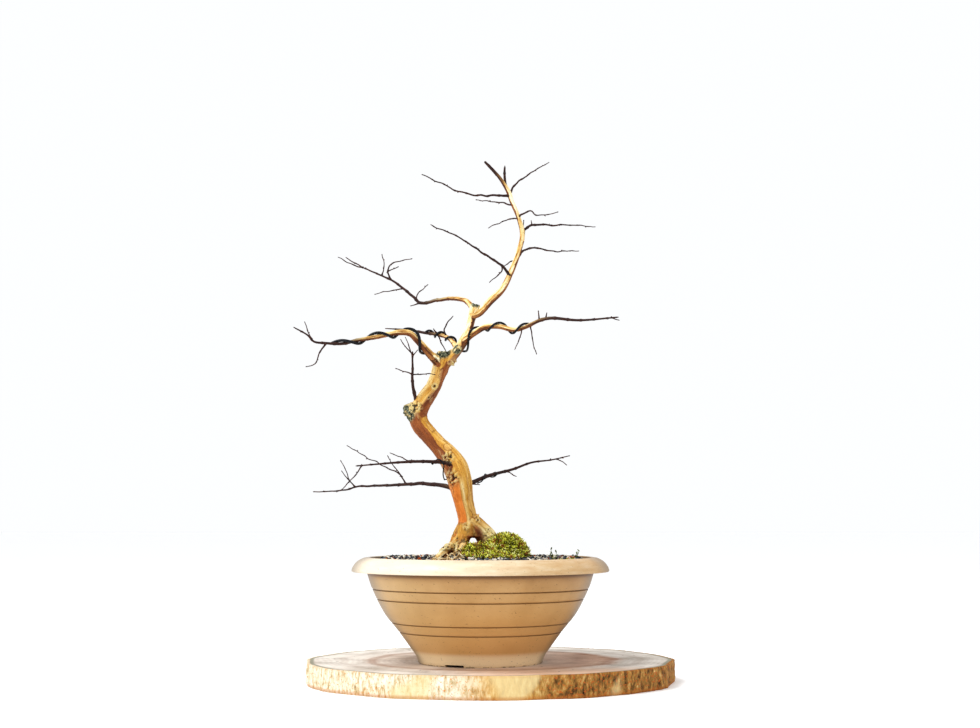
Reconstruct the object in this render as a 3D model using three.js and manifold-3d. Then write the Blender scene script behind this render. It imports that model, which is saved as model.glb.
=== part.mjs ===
// A bare winter bonsai, wired and potted in a round training pot, on a slice of log.
// Millimetres, +Z up. The origin is on the underside of the slice, on the pot's axis,
// and the tree's front faces -Y.

import * as THREE from 'three';
import { mergeVertices } from 'three/addons/utils/BufferGeometryUtils.js';
import Module from 'manifold-3d';

const wasm = await Module();
wasm.setup();

// ---------------------------------------------------------------- driving dimensions

const FIT_GAP = 0.3; // between pieces that rest on, or are bedded in, each other

const SLICE_RADIUS = 177; // mean radius of the log slice, over the bark
const SLICE_THICKNESS = 22;
const SLICE_CENTRE = { x: 13, y: 26 }; // the pot stands forward of the slice's middle
const SLICE_OVAL = 8; // how much further the slice reaches along its long way
const SLICE_SIDES = 64;

const POT_HEIGHT = 103.4;
const POT_WALL = 2.6;
const POT_FOOT_RADIUS = 61;
const POT_FOOT_HEIGHT = 8.6;
const POT_FOOT_RING = 5; // width of the ring that the pot stands on
const POT_WAIST_RADIUS = POT_FOOT_RADIUS + 3.4; // where the bowl starts, just over the foot
const POT_MOUTH_RADIUS = 112; // outside of the bowl under its rim
const POT_RIM_WIDTH = 15.6; // how far the rolled rim stands out from the mouth
const POT_RIM_RADIUS = POT_MOUTH_RADIUS + POT_RIM_WIDTH;
const POT_RIM_DEPTH = 14; // from the top of the rim to the lower edge of its lip
const POT_RIM_WALL = 2.4;
const POT_SIDES = 36;
const BOWL_STEPS = 9; // stretches in the outline of the bowl's inner face
const GROOVE_DEPTH = 0.9;
const GROOVE_WIDTH = 1.3;
const GROOVE_PLACES = [0.281, 0.398, 0.69, 0.816]; // as parts of the bowl's rise over its foot
const NOTCH_WIDTH = 19.5; // drain notches in the foot ring
const NOTCH_HEIGHT = 2.2;
const NOTCH_ANGLE = -114 * THREE.MathUtils.DEG2RAD; // the notch at the front left
const DRAIN_COUNT = 3;
const DRAIN_RADIUS = 9;
const DRAIN_CIRCLE = 32; // radius of the circle that the drain holes lie on

const SCREEN_SIDE = 26;
const SCREEN_THICKNESS = 1.2;
const SCREEN_CELL = 4; // side of one opening in the mesh
const SCREEN_PITCH = 7;
const CLIP_RADIUS = 0.5; // wire that holds a screen down through its drain hole
const CLIP_TURN_OUT = 14; // from the middle of a clip to the end of its bent foot

const SOIL_BELOW_RIM = 12; // at the pot's wall
const SOIL_MOUND = 11; // height of the mound under the trunk, above the rim
const SOIL_SPREAD = 45.8; // from the mound's middle to where it is half as high
const SOIL_TILT = 0.03; // the soil lies a little higher on the right

const STONE_LIFT = 1; // of a loose stone's middle over the soil
const WEED_HEIGHT = 14;
const WEED_FOOT = 2;
const WEED_THICK = [0.9, 0.5]; // radius of a stem at its foot and at its tip

const TREE_HEIGHT = 400; // above the rim
const TREE_SIZE = TREE_HEIGHT / 400; // the lines below are those of a tree 400 high
const TAPER = 0.7;

const THICK_WIRE = 1.4; // radii of the training wires
const MIDDLE_WIRE = 1.1;
const THIN_WIRE = 0.6;

// ---------------------------------------------------------------- what follows from them

const RIM_TOP = SLICE_THICKNESS + POT_HEIGHT;
const FLOOR_UNDERSIDE = SLICE_THICKNESS + POT_FOOT_HEIGHT;
const FLOOR_TOP = FLOOR_UNDERSIDE + POT_WALL;
const BOWL_TOP = POT_HEIGHT - POT_RIM_DEPTH - POT_RIM_WALL;

// ---------------------------------------------------------------- solids

function solid(geometry) {
  const bare = geometry.clone();
  bare.deleteAttribute('normal');
  bare.deleteAttribute('uv');
  const merged = mergeVertices(bare, 1e-4);
  const made = new wasm.Manifold(
    new wasm.Mesh({
      numProp: 3,
      vertProperties: merged.attributes.position.array,
      triVerts: new Uint32Array(merged.index.array),
    }),
  );
  return made;
}

function geometryOf(made) {
  const { vertProperties, triVerts } = made.getMesh();
  const geometry = new THREE.BufferGeometry();
  geometry.setAttribute('position', new THREE.BufferAttribute(vertProperties, 3));
  geometry.setIndex(new THREE.BufferAttribute(triVerts, 1));
  geometry.computeVertexNormals();
  return geometry;
}

function union(solids) {
  return solids.reduce((whole, one) => whole.add(one));
}

const bonsai = new THREE.Group();

function piece(name, shape, material) {
  const geometry = shape.isBufferGeometry ? shape : geometryOf(shape);
  const mesh = new THREE.Mesh(geometry, material);
  mesh.name = name;
  bonsai.add(mesh);
  return mesh;
}

function finish(color, roughness, metalness = 0) {
  return new THREE.MeshStandardMaterial({ color, roughness, metalness });
}

// A profile of [radius, height] pairs turned about the pot's axis.
function turned(profile, sides) {
  const points = profile.map(([radius, height]) => new THREE.Vector2(radius, height));
  return new THREE.LatheGeometry(points, sides).rotateX(Math.PI / 2);
}

// ---------------------------------------------------------------- the log slice

function sliceGeometry() {
  const longWay = 8 * THREE.MathUtils.DEG2RAD;
  const outline = [];
  for (let i = 0; i < SLICE_SIDES; i += 1) {
    const angle = (2 * Math.PI * i) / SLICE_SIDES;
    const oval = SLICE_OVAL * Math.cos(2 * (angle - longWay));
    const egg = 5.5 * Math.sin(angle) - 3.5 * Math.cos(angle);
    const bark = 1.2 * Math.sin(11 * angle) + 0.8 * Math.sin(17 * angle + 1);
    const radius = SLICE_RADIUS + oval + egg + bark;
    const x = SLICE_CENTRE.x + radius * Math.cos(angle);
    const y = SLICE_CENTRE.y + radius * Math.sin(angle);
    outline.push(new THREE.Vector2(x, y));
  }
  const options = { depth: SLICE_THICKNESS, bevelEnabled: false };
  return new THREE.ExtrudeGeometry(new THREE.Shape(outline), options);
}

piece('log_slice', sliceGeometry(), finish(0xc9a77c, 0.85));

// ---------------------------------------------------------------- the pot

// The bowl's outer line, from the waist over the foot up to the mouth under the rim.
const bowlRise = BOWL_TOP - POT_FOOT_HEIGHT;
const bowlFlare = POT_MOUTH_RADIUS - POT_WAIST_RADIUS;
const bowlLine = new THREE.SplineCurve(
  [[0, 0], [0.35, 0.29], [0.65, 0.52], [0.9, 0.82], [1, 1]].map(
    ([out, up]) =>
      new THREE.Vector2(POT_WAIST_RADIUS + out * bowlFlare, POT_FOOT_HEIGHT + up * bowlRise),
  ),
);

// A point of the bowl's wall, so far in from its outer face.
function bowlPoint(along, inset) {
  const at = bowlLine.getPoint(along);
  const way = bowlLine.getTangent(along);
  return [at.x - way.y * inset, SLICE_THICKNESS + at.y + way.x * inset];
}

// How far along its line the bowl reaches a height above the slice.
function bowlAlong(height) {
  let low = 0;
  let high = 1;
  for (let i = 0; i < 30; i += 1) {
    const middle = (low + high) / 2;
    if (bowlLine.getPoint(middle).y < height) low = middle;
    else high = middle;
  }
  return (low + high) / 2;
}

// The outer face with its grooves, each a shallow vee.
function bowlOuterFace() {
  const face = [bowlPoint(0, 0)];
  for (const place of GROOVE_PLACES) {
    const height = POT_FOOT_HEIGHT + place * bowlRise;
    face.push(bowlPoint(bowlAlong(height - GROOVE_WIDTH / 2), 0));
    face.push(bowlPoint(bowlAlong(height), GROOVE_DEPTH));
    face.push(bowlPoint(bowlAlong(height + GROOVE_WIDTH / 2), 0));
  }
  face.push(bowlPoint(bowlAlong(BOWL_TOP - 6), 0));
  face.push(bowlPoint(1, 0));
  return face;
}

// The inner face from the mouth down to a height over the ground, so far in from the wall.
function bowlInnerFace(inset, bottom) {
  let low = 0;
  let high = 1;
  for (let i = 0; i < 30; i += 1) {
    const middle = (low + high) / 2;
    if (bowlPoint(middle, inset)[1] < bottom) low = middle;
    else high = middle;
  }
  const face = [];
  for (let i = BOWL_STEPS; i >= 0; i -= 1) {
    face.push(bowlPoint(low + ((1 - low) * i) / BOWL_STEPS, inset));
  }
  return face;
}

const MOUTH_INSIDE = bowlPoint(1, POT_WALL)[0];

function potSolid() {
  const ringInside = POT_FOOT_RADIUS - POT_FOOT_RING;
  // A point of the rolled rim, as parts of its width out and of its depth down.
  const rim = (out, down) => [
    POT_MOUTH_RADIUS + out * POT_RIM_WIDTH,
    RIM_TOP - down * POT_RIM_DEPTH,
  ];
  const lipInside = POT_RIM_RADIUS - POT_RIM_WALL;
  const profile = [
    [0, FLOOR_UNDERSIDE],
    [ringInside, FLOOR_UNDERSIDE],
    [ringInside, SLICE_THICKNESS],
    [POT_FOOT_RADIUS, SLICE_THICKNESS],
    [POT_WAIST_RADIUS - 0.8, FLOOR_UNDERSIDE - 1.6],
    ...bowlOuterFace(),
    [POT_MOUTH_RADIUS, RIM_TOP - 1.25 * POT_RIM_WALL],
    [rim(0.6, 0)[0], RIM_TOP - 2.5 * POT_RIM_WALL],
    [lipInside, rim(1, 0.71)[1]],
    [lipInside, rim(1, 1)[1]],
    rim(1, 0.94),
    rim(0.9, 0.67),
    rim(0.6, 0.24),
    rim(0.25, 0.03),
    rim(0, 0),
    [MOUTH_INSIDE, rim(0, 0.06)[1]],
    ...bowlInnerFace(POT_WALL, FLOOR_TOP),
    [0, FLOOR_TOP],
  ];
  let pot = solid(turned(profile, POT_SIDES));
  for (let i = 0; i < DRAIN_COUNT; i += 1) {
    const turn = (2 * Math.PI * i) / DRAIN_COUNT;
    const notch = new THREE.BoxGeometry(3 * POT_FOOT_RING, NOTCH_WIDTH, 2 * NOTCH_HEIGHT);
    notch.translate(POT_FOOT_RADIUS, 0, SLICE_THICKNESS).rotateZ(NOTCH_ANGLE + turn);
    const drain = new THREE.CylinderGeometry(DRAIN_RADIUS, DRAIN_RADIUS, 4 * POT_WALL, 16);
    drain.rotateX(Math.PI / 2);
    drain.translate(DRAIN_CIRCLE, 0, FLOOR_TOP).rotateZ(NOTCH_ANGLE + turn);
    pot = pot.subtract(solid(notch)).subtract(solid(drain));
  }
  return pot;
}

piece('pot', potSolid(), finish(0xcf9d63, 0.55));

// ---------------------------------------------------------------- the drain screens

const screenMaterial = finish(0x2b2d2c, 0.7);
const clipMaterial = finish(0x9c9a93, 0.4, 0.9);
const SCREEN_TOP = FLOOR_TOP + FIT_GAP + SCREEN_THICKNESS;
const CLIP_TOP = SCREEN_TOP + FIT_GAP + 2 * CLIP_RADIUS;

function overDrain(geometry, index) {
  const turn = (2 * Math.PI * index) / DRAIN_COUNT;
  return geometry.translate(DRAIN_CIRCLE, 0, 0).rotateZ(NOTCH_ANGLE + turn);
}

function screenSolid(index) {
  const middle = FLOOR_TOP + FIT_GAP + SCREEN_THICKNESS / 2;
  const sheet = new THREE.BoxGeometry(SCREEN_SIDE, SCREEN_SIDE, SCREEN_THICKNESS);
  let screen = solid(overDrain(sheet.translate(0, 0, middle), index));
  for (const column of [-1, 0, 1]) {
    for (const row of [-1, 0, 1]) {
      const cell = new THREE.BoxGeometry(SCREEN_CELL, SCREEN_CELL, 2 * SCREEN_THICKNESS);
      cell.translate(column * SCREEN_PITCH, row * SCREEN_PITCH, middle);
      screen = screen.subtract(solid(overDrain(cell, index)));
    }
  }
  return screen;
}

// A clip lies over the screen, goes down through two of its cells and the drain hole,
// and is bent outwards under the floor.
function clipGeometry() {
  const top = CLIP_TOP - CLIP_RADIUS;
  const foot = FLOOR_UNDERSIDE - FIT_GAP - CLIP_RADIUS;
  const half = [
    [CLIP_TURN_OUT, foot],
    [SCREEN_PITCH + 1.2, foot],
    [SCREEN_PITCH, foot + 1.2],
    [SCREEN_PITCH, top - 1],
    [SCREEN_PITCH - 1, top],
  ];
  const points = half.map(([y, z]) => new THREE.Vector3(0, y, z));
  points.push(...half.toReversed().map(([y, z]) => new THREE.Vector3(0, -y, z)));
  const path = new THREE.CurvePath();
  for (let i = 1; i < points.length; i += 1) {
    path.add(new THREE.LineCurve3(points[i - 1], points[i]));
  }
  return wireAlong(path, CLIP_RADIUS, 14, 5);
}

// A round wire along a path.
function wireAlong(path, radius, steps, sides) {
  const round = [];
  for (let i = 0; i < sides; i += 1) {
    const angle = (2 * Math.PI * i) / sides;
    round.push(new THREE.Vector2(radius * Math.cos(angle), radius * Math.sin(angle)));
  }
  const options = { steps, extrudePath: path, bevelEnabled: false };
  return new THREE.ExtrudeGeometry(new THREE.Shape(round), options);
}

for (let i = 0; i < DRAIN_COUNT; i += 1) {
  piece(`drain_screen_${i + 1}`, screenSolid(i), screenMaterial);
  piece(`screen_clip_${i + 1}`, overDrain(clipGeometry(), i), clipMaterial);
}

// ---------------------------------------------------------------- the tree's limbs

// A limb is a line in the air, in millimetres from the pot's axis and up from its rim, and the
// limb's radius at each point, or just at its two ends when it tapers evenly.
class Limb {
  constructor(line, thick, rise = RIM_TOP, size = TREE_SIZE) {
    const points = line.map(([x, y, z]) => new THREE.Vector3(x, y, z).multiplyScalar(size));
    this.curve = new THREE.CatmullRomCurve3(points.map((p) => p.setZ(p.z + rise)));
    this.thick = thick;
    this.size = size;
    this.length = this.curve.getLength();
  }

  radius(along) {
    if (this.thick.length === 2) {
      const [base, tip] = this.thick;
      return this.size * (base + (tip - base) * along ** TAPER);
    }
    const place = this.curve.getUtoTmapping(along) * (this.thick.length - 1);
    const before = Math.min(Math.floor(place), this.thick.length - 2);
    const part = place - before;
    return this.size * (this.thick[before] * (1 - part) + this.thick[before + 1] * part);
  }

  // A closed solid of the limb, thicker all round by the given allowance.
  solid(allowance = 0) {
    const thickest = Math.max(...this.thick);
    const [sides, step] = thickest > 5 ? [10, 9] : thickest > 1.6 ? [6, 7] : [5, 14];
    const steps = Math.max(2, Math.round(this.length / (step * this.size)));
    const profile = [new THREE.Vector2(0, 0)];
    for (let i = 0; i <= steps; i += 1) {
      profile.push(new THREE.Vector2(this.radius(i / steps) + allowance, i));
    }
    profile.push(new THREE.Vector2(0, steps));
    const geometry = new THREE.LatheGeometry(profile, sides);
    const { normals, binormals } = this.curve.computeFrenetFrames(steps, false);
    const position = geometry.attributes.position;
    const at = new THREE.Vector3();
    for (let i = 0; i < position.count; i += 1) {
      const ring = Math.round(position.getY(i));
      this.curve.getPointAt(ring / steps, at);
      at.addScaledVector(normals[ring], position.getX(i));
      at.addScaledVector(binormals[ring], -position.getZ(i));
      position.setXYZ(i, at.x, at.y, at.z);
    }
    return solid(geometry);
  }
}

const trunkLine = [
  [-13, 0, 20, 12], [-13, 0, 38, 9.3], [-17, -1, 56, 9.5], [-20, -3, 73, 11.6],
  [-25, -2, 89, 12.4], [-33, 1, 101, 10.6], [-43, 4, 112, 8.8], [-52, 6, 122, 8.8],
  [-61, 8, 133, 9], [-63, 9, 144, 9.6], [-57, 8, 156, 8.4], [-49, 6, 168, 7.5],
  [-44, 5, 179, 7.6], [-40, 4, 190, 8.4], [-37, 3, 200, 8], [-37, 3, 205, 7.4],
];
const middleLine = [
  [-38, 3, 193, 6.5], [-30, 2, 200, 6], [-24, 0, 206, 4.8], [-17, -2, 216, 4.7],
  [-12, -4, 227, 3.6], [-9, -6, 238, 3.6], [-7, -7, 246, 4.6], [-5, -8, 252, 4.3],
];
const topLine = [
  [-8, -7, 241, 4], [-2, -7, 243, 3.9], [9, -9, 254, 3.6], [22, -11, 267, 3.3],
  [32, -13, 288, 2.8], [40, -15, 311, 2.4], [42, -16, 322, 2.7], [38, -17, 339, 2.4],
  [31, -19, 355, 2.3], [29, -19, 362, 2.6], [22, -21, 374, 2], [14, -22, 384, 1.6],
  [4, -24, 394, 1.2],
];
const rootLines = [
  [[-13, 0, 34, 8.6], [-15, -2, 25, 7.2], [-22, -4, 15, 6], [-31, -7, 8, 4.8],
    [-45, -13, -4, 3.4], [-55, -19, -12, 2.4]],
  [[-15, -2, 27, 7], [-17, -8, 16, 5.8], [-19, -15, 5, 4.6], [-22, -22, -9, 2.8]],
  [[-11, 0, 36, 9.4], [-2, 2, 28, 9.4], [7, 4, 19, 9.4], [14, 6, 8, 8.4],
    [20, 8, -4, 6], [25, 10, -17, 3.4]],
  [[-16, 4, 29, 8], [-23, 16, 19, 6.2], [-30, 28, 6, 4.6], [-36, 38, -8, 3]],
];

function limbAlong(line) {
  return new Limb(line, line.map((point) => point[3]));
}

const roots = rootLines.map(limbAlong);
const trunk = limbAlong(trunkLine);
const middle = limbAlong(middleLine);
const crown = limbAlong(topLine);

// The boughs that are wired.
const leftBough = new Limb([
  [-41, 1, 193], [-50, -8, 201], [-63, -18, 215], [-70, -23, 221], [-82, -30, 221],
  [-103, -44, 215], [-120, -53, 211], [-134, -60, 207], [-150, -66, 207], [-160, -70, 208],
  [-166, -73, 214], [-177, -79, 220],
], [4.8, 0.6]);
const leftRearBough = new Limb([
  [-23, 2, 207], [-31, 10, 219], [-42, 18, 224], [-57, 27, 227], [-74, 37, 231], [-98, 50, 234],
], [3, 0.5]);
const rightBough = new Limb([
  [-17, -3, 216], [-6, -10, 223], [5, -17, 228], [18, -23, 228], [33, -29, 224], [44, -34, 226],
  [58, -39, 232], [69, -42, 234], [96, -50, 231], [133, -58, 233],
], [3.7, 0.7]);
const lowRightBough = new Limb([
  [-17, 2, 69], [-6, 9, 75], [8, 18, 81], [33, 33, 88], [52, 41, 95], [73, 48, 98], [90, 53, 102],
], [2.6, 0.5]);
const lowLeftFrontBough = new Limb([
  [-24, -7, 86], [-31, -14, 92], [-50, -24, 94], [-76, -38, 93], [-119, -53, 89],
], [2.4, 0.6]);

// Every other bough, spur and twig.
const otherLimbs = [
  // knots, burrs and cut stubs on the trunk
  [[[-62, 9, 144], [-70, 9, 146], [-77, 8, 147]], [9, 8.2]],
  [[[-24, -6, 78], [-29, -10, 78]], [8, 5.5]],
  [[[-31, -2, 100], [-33, -9, 101]], [7, 4.4]],
  [[[-6, -1, 33], [-3, -3, 39], [-1.5, -3, 43]], [1.8, 0.9]],
  // the low left bough at the back, and its twigs
  [[[-24, 2, 67], [-38, 11, 71], [-61, 24, 73], [-91, 37, 72], [-129, 49, 70], [-140, 51, 67],
    [-171, 57, 65]], [2.6, 0.5]],
  [[[-76, 31, 73], [-84, 34, 84], [-99, 38, 91], [-137, 50, 112]], [0.8, 0.4]],
  [[[-80, 33, 80], [-88, 23, 91], [-94, 16, 100]], [0.6, 0.4]],
  [[[-129, 49, 70], [-134, 46, 76], [-142, 41, 85]], [0.8, 0.4]],
  [[[-135, 46, 77], [-140, 49, 89], [-143, 51, 96]], [0.5, 0.4]],
  // twigs of the low left bough at the front
  [[[-114, -52, 90], [-120, -55, 81], [-132, -62, 67]], [0.7, 0.4]],
  [[[-62, -31, 94], [-76, -18, 97], [-89, -9, 103]], [0.8, 0.4]],
  // twigs of the low right bough
  [[[78, 49, 99], [84, 46, 96], [87, 43, 93]], [0.6, 0.4]],
  [[[25, 29, 86], [31, 25, 83], [35, 21, 81]], [0.7, 0.4]],
  [[[-9, 6, 73], [-5, 1, 72], [-1, -5, 72]], [0.8, 0.4]],
  // the upright shoot over the elbow, and its twigs
  [[[-64, 7, 153], [-66, 3, 161], [-68, -2, 173], [-68, -6, 193], [-68, -8, 203]], [2.2, 0.8]],
  [[[-69, -3, 182], [-55, -16, 181], [-46, -24, 181]], [0.7, 0.4]],
  [[[-68, -4, 182], [-74, -2, 184], [-84, 2, 188]], [0.7, 0.4]],
  [[[-68, -8, 202], [-75, -10, 209], [-79, -12, 215]], [0.7, 0.4]],
  [[[-68, -7, 201], [-71, -4, 207], [-75, 2, 219]], [0.7, 0.4]],
  [[[-68, -7, 200], [-64, -9, 205]], [0.6, 0.4]],
  // twigs of the wired left bough
  [[[-162, -72, 210], [-166, -68, 218], [-169, -63, 227]], [0.7, 0.4]],
  [[[-149, -66, 207], [-154, -71, 197], [-158, -75, 187], [-165, -78, 183]], [1, 0.4]],
  // twigs of the rear left bough
  [[[-35, 13, 222], [-37, 11, 229], [-29, 8, 241]], [0.9, 0.5]],
  [[[-44, 19, 225], [-41, 15, 218], [-36, 10, 208]], [0.8, 0.5]],
  [[[-43, 18, 224], [-47, 17, 229]], [0.9, 0.7]],
  // twigs and spurs of the wired right bough
  [[[41, -33, 225], [38, -37, 213], [34, -40, 204]], [0.7, 0.4]],
  [[[49, -36, 228], [51, -32, 215], [55, -27, 201]], [0.7, 0.4]],
  [[[58, -39, 231], [57, -39, 240]], [1, 0.5]],
  [[[64, -41, 233], [65, -41, 238]], [0.9, 0.5]],
  [[[127, -57, 233], [134, -55, 231]], [0.7, 0.4]],
  // the high left bough at the back, and its twigs
  [[[-7, -6, 247], [-14, 2, 256], [-23, 11, 260], [-41, 24, 261], [-62, 36, 259], [-69, 39, 265],
    [-89, 47, 282], [-106, 53, 291], [-125, 59, 300], [-141, 64, 310]], [3.4, 0.5]],
  [[[-62, 36, 259], [-71, 33, 256]], [1, 0.4]],
  [[[-67, 38, 263], [-65, 43, 269], [-56, 51, 279]], [0.7, 0.4]],
  [[[-80, 44, 275], [-92, 52, 274], [-110, 62, 272]], [0.7, 0.4]],
  [[[-94, 49, 285], [-97, 46, 293], [-93, 42, 300], [-73, 36, 305]], [1, 0.4]],
  [[[-97, 46, 293], [-87, 52, 298]], [0.6, 0.4]],
  [[[-103, 52, 290], [-101, 57, 302], [-103, 60, 312]], [0.7, 0.4]],
  [[[-123, 58, 299], [-136, 54, 302], [-147, 47, 308]], [0.7, 0.4]],
  // the leader's fork and the crown's twigs
  [[[25, -20, 370], [24, -21, 379], [24, -22, 388]], [1.7, 1]],
  [[[29, -19, 360], [33, -17, 370], [53, -3, 388], [69, 9, 400]], [1.2, 0.4]],
  [[[29, -19, 360], [16, -28, 359], [-4, -43, 356], [-22, -55, 358], [-55, -74, 370]], [1.3, 0.5]],
  [[[33, -18, 351], [19, -4, 356], [-4, 18, 363]], [0.9, 0.4]],
  [[[38, -17, 339], [49, -31, 343], [57, -38, 337], [75, -52, 337]], [1, 0.4]],
  [[[38, -17, 338], [23, 2, 338], [9, 16, 334]], [0.8, 0.4]],
  [[[42, -16, 322], [49, -9, 331], [69, 6, 335], [117, 33, 338]], [1.5, 0.4]],
  [[[52, -6, 332], [51, -7, 336]], [0.7, 0.4]],
  [[[42, -15, 324], [44, -12, 335]], [0.8, 0.4]],
  [[[36, -14, 298], [43, -7, 306], [54, 3, 311], [73, 17, 310], [100, 34, 313]], [1.3, 0.4]],
  [[[29, -13, 281], [22, -20, 289], [1, -39, 300], [-24, -58, 313], [-47, -72, 321]], [1.5, 0.5]],
  [[[22, -20, 289], [20, -15, 283], [10, -9, 275]], [0.8, 0.4]],
  [[[35, -13, 295], [28, -5, 295], [22, 6, 290]], [0.8, 0.4]],
].map(([line, thick]) => new Limb(line, thick));

const wiredBoughs = [leftBough, leftRearBough, rightBough, lowRightBough, lowLeftFrontBough];
const allLimbs = [trunk, middle, crown, ...roots, ...wiredBoughs, ...otherLimbs];
const tree = union(allLimbs.map((limb) => limb.solid()));
piece('bonsai_tree', tree, finish(0xb8733a, 0.6));

// ---------------------------------------------------------------- soil and moss

// The room that the roots and the foot of the trunk need in the soil and the moss.
const rootRoom = union([trunk, ...roots].map((limb) => limb.solid(FIT_GAP)));

const SOIL_RADIUS = MOUTH_INSIDE - FIT_GAP;
const SOIL_EDGE = RIM_TOP - SOIL_BELOW_RIM; // height of the soil at the pot's wall

function moundShare(part) {
  const bell = (t) => 1 / (1 + ((t * SOIL_RADIUS) / SOIL_SPREAD) ** 2);
  return (bell(part) - bell(1)) / (1 - bell(1));
}

// Height of the soil's surface, before it is tilted, at a part of its radius.
function surfaceHeight(part) {
  return SOIL_EDGE + moundShare(part) * (SOIL_MOUND + SOIL_BELOW_RIM);
}

// A place over the soil, from parts of its radius right and back and a height over its surface.
function overSoil(right, back, height) {
  const surface = surfaceHeight(Math.hypot(right, back)) + SOIL_TILT * right * SOIL_RADIUS;
  return [right * SOIL_RADIUS, back * SOIL_RADIUS, surface + height];
}

// The soil as one solid, its surface lifted by the given allowance.
function soilSolid(lift = 0) {
  const surface = [1, 0.8, 0.6, 0.42, 0.27, 0.13].map((part) => [
    part * SOIL_RADIUS,
    surfaceHeight(part) + lift,
  ]);
  const floor = FLOOR_TOP + FIT_GAP;
  const profile = [
    [0, floor],
    ...bowlInnerFace(POT_WALL + FIT_GAP, floor).toReversed(),
    ...surface,
    [0, surfaceHeight(0) + lift],
  ];
  const geometry = turned(profile, POT_SIDES);
  const position = geometry.attributes.position;
  for (let i = 0; i < position.count; i += 1) {
    const height = position.getZ(i);
    if (height > SOIL_EDGE - FIT_GAP) position.setZ(i, height + SOIL_TILT * position.getX(i));
  }
  return solid(geometry);
}

function screenRoom(index) {
  const side = SCREEN_SIDE + 2 * FIT_GAP;
  const height = CLIP_TOP + FIT_GAP - FLOOR_TOP;
  const room = new THREE.BoxGeometry(side, side, 2 * height).translate(0, 0, FLOOR_TOP);
  return solid(overDrain(room, index));
}

function beddedSoil() {
  let soil = soilSolid().subtract(rootRoom);
  for (let i = 0; i < DRAIN_COUNT; i += 1) soil = soil.subtract(screenRoom(i));
  return soil;
}

piece('soil', beddedSoil(), finish(0x5b5148, 0.95));

// Everything that lies on the soil is cut to its surface and to the roots.
const groundRoom = soilSolid(FIT_GAP).add(rootRoom);

// A rounded lump about its middle.
function lump([x, y, z], [wide, deep, tall], detail) {
  const geometry = new THREE.SphereGeometry(1, 4 * detail, 2 * detail);
  geometry.rotateX(Math.PI / 2).scale(wide, deep, tall).translate(x, y, z);
  return solid(geometry);
}

const mossMaterial = finish(0x8a9a2c, 0.95);
const mossMiddle = [23, 3, RIM_TOP - 2];
const mossSize = [26, 26, 25];
const mossMound = lump(mossMiddle, mossSize, 5).subtract(groundRoom);
const mossRoom = lump(mossMiddle, mossSize.map((size) => size + FIT_GAP), 5);
const mossFront = lump([-5, -15, RIM_TOP - 1], [19, 14, 13], 4)
  .subtract(groundRoom)
  .subtract(mossRoom);
const mossPatch = lump(overSoil(0.8, 0.07, 1), [13, 10, 5], 3).subtract(groundRoom);
piece('moss_mound', mossMound, mossMaterial);
piece('moss_front', mossFront, mossMaterial);
piece('moss_patch', mossPatch, mossMaterial);

// ---------------------------------------------------------------- loose stones and weeds

const stoneMaterial = finish(0xb4aaa0, 0.9);
const stones = [
  [[-0.58, -0.35], [6, 4.5, 4]],
  [[-0.37, -0.57], [4.5, 5, 4]],
  [[0.48, -0.48], [5.5, 4.5, 4]],
  [[0.6, 0.37], [5, 6, 4]],
  [[-0.27, 0.57], [5.5, 4.5, 4]],
  [[-0.68, 0.22], [4.5, 5, 4]],
];
stones.forEach(([[right, back], size], i) => {
  const stone = lump(overSoil(right, back, STONE_LIFT), size, 2).subtract(groundRoom);
  piece(`loose_stone_${i + 1}`, stone, stoneMaterial);
});

// A weed is three leaning stems from one spot.
function weed(right, back) {
  const [x, y, ground] = overSoil(right, back, 0);
  const stems = [[-3, -1, 1], [1, 2, 0.8], [4, 0, 0.55]].map(([sideways, forward, part]) => {
    const tall = part * WEED_HEIGHT;
    const stem = [
      [x, y, ground - WEED_FOOT],
      [x + sideways / 2, y + forward / 2, ground + tall / 2],
      [x + sideways, y + forward, ground + tall],
    ];
    return new Limb(stem, WEED_THICK, 0, 1).solid();
  });
  return union(stems).subtract(groundRoom);
}

const weedMaterial = finish(0x6f8a35, 0.8);
piece('weed_1', weed(0.66, -0.07), weedMaterial);
piece('weed_2', weed(0.88, 0.29), weedMaterial);

// ---------------------------------------------------------------- training wires

// The points of a wire wound round a bough, from one place along it to another. Turns are
// counted from the bough's upper side.
function wound(bough, [from, to], [startTurn, turns], wire) {
  const count = Math.ceil(Math.abs(turns) * 8);
  const up = new THREE.Vector3(0, 0, 1);
  const points = [];
  for (let i = 0; i <= count; i += 1) {
    const along = from + ((to - from) * i) / count;
    const angle = 2 * Math.PI * (startTurn + (turns * i) / count);
    const reach = bough.radius(along) + wire + FIT_GAP;
    const way = bough.curve.getTangentAt(along);
    const side = way.clone().cross(up).normalize();
    const at = bough.curve.getPointAt(along);
    at.addScaledVector(side, reach * Math.sin(angle));
    at.addScaledVector(side.clone().cross(way), reach * Math.cos(angle));
    points.push(at);
  }
  return points;
}

// Points that take a wire round the trunk, placed as the limbs' points are.
function across(line) {
  return line.map(([x, y, z]) => {
    const at = new THREE.Vector3(x, y, z).multiplyScalar(TREE_SIZE);
    return at.setZ(at.z + RIM_TOP);
  });
}

function trainingWire(points, radius) {
  const path = new THREE.CatmullRomCurve3(points);
  return wireAlong(path, radius, Math.round(1.6 * points.length), 5);
}

const wireMaterial = finish(0x1d1f24, 0.4, 0.6);

const leftWire = wound(leftBough, [0.07, 0.76], [0.1, 3.1], THICK_WIRE);
piece('left_bough_wire', trainingWire(leftWire, THICK_WIRE), wireMaterial);

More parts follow.
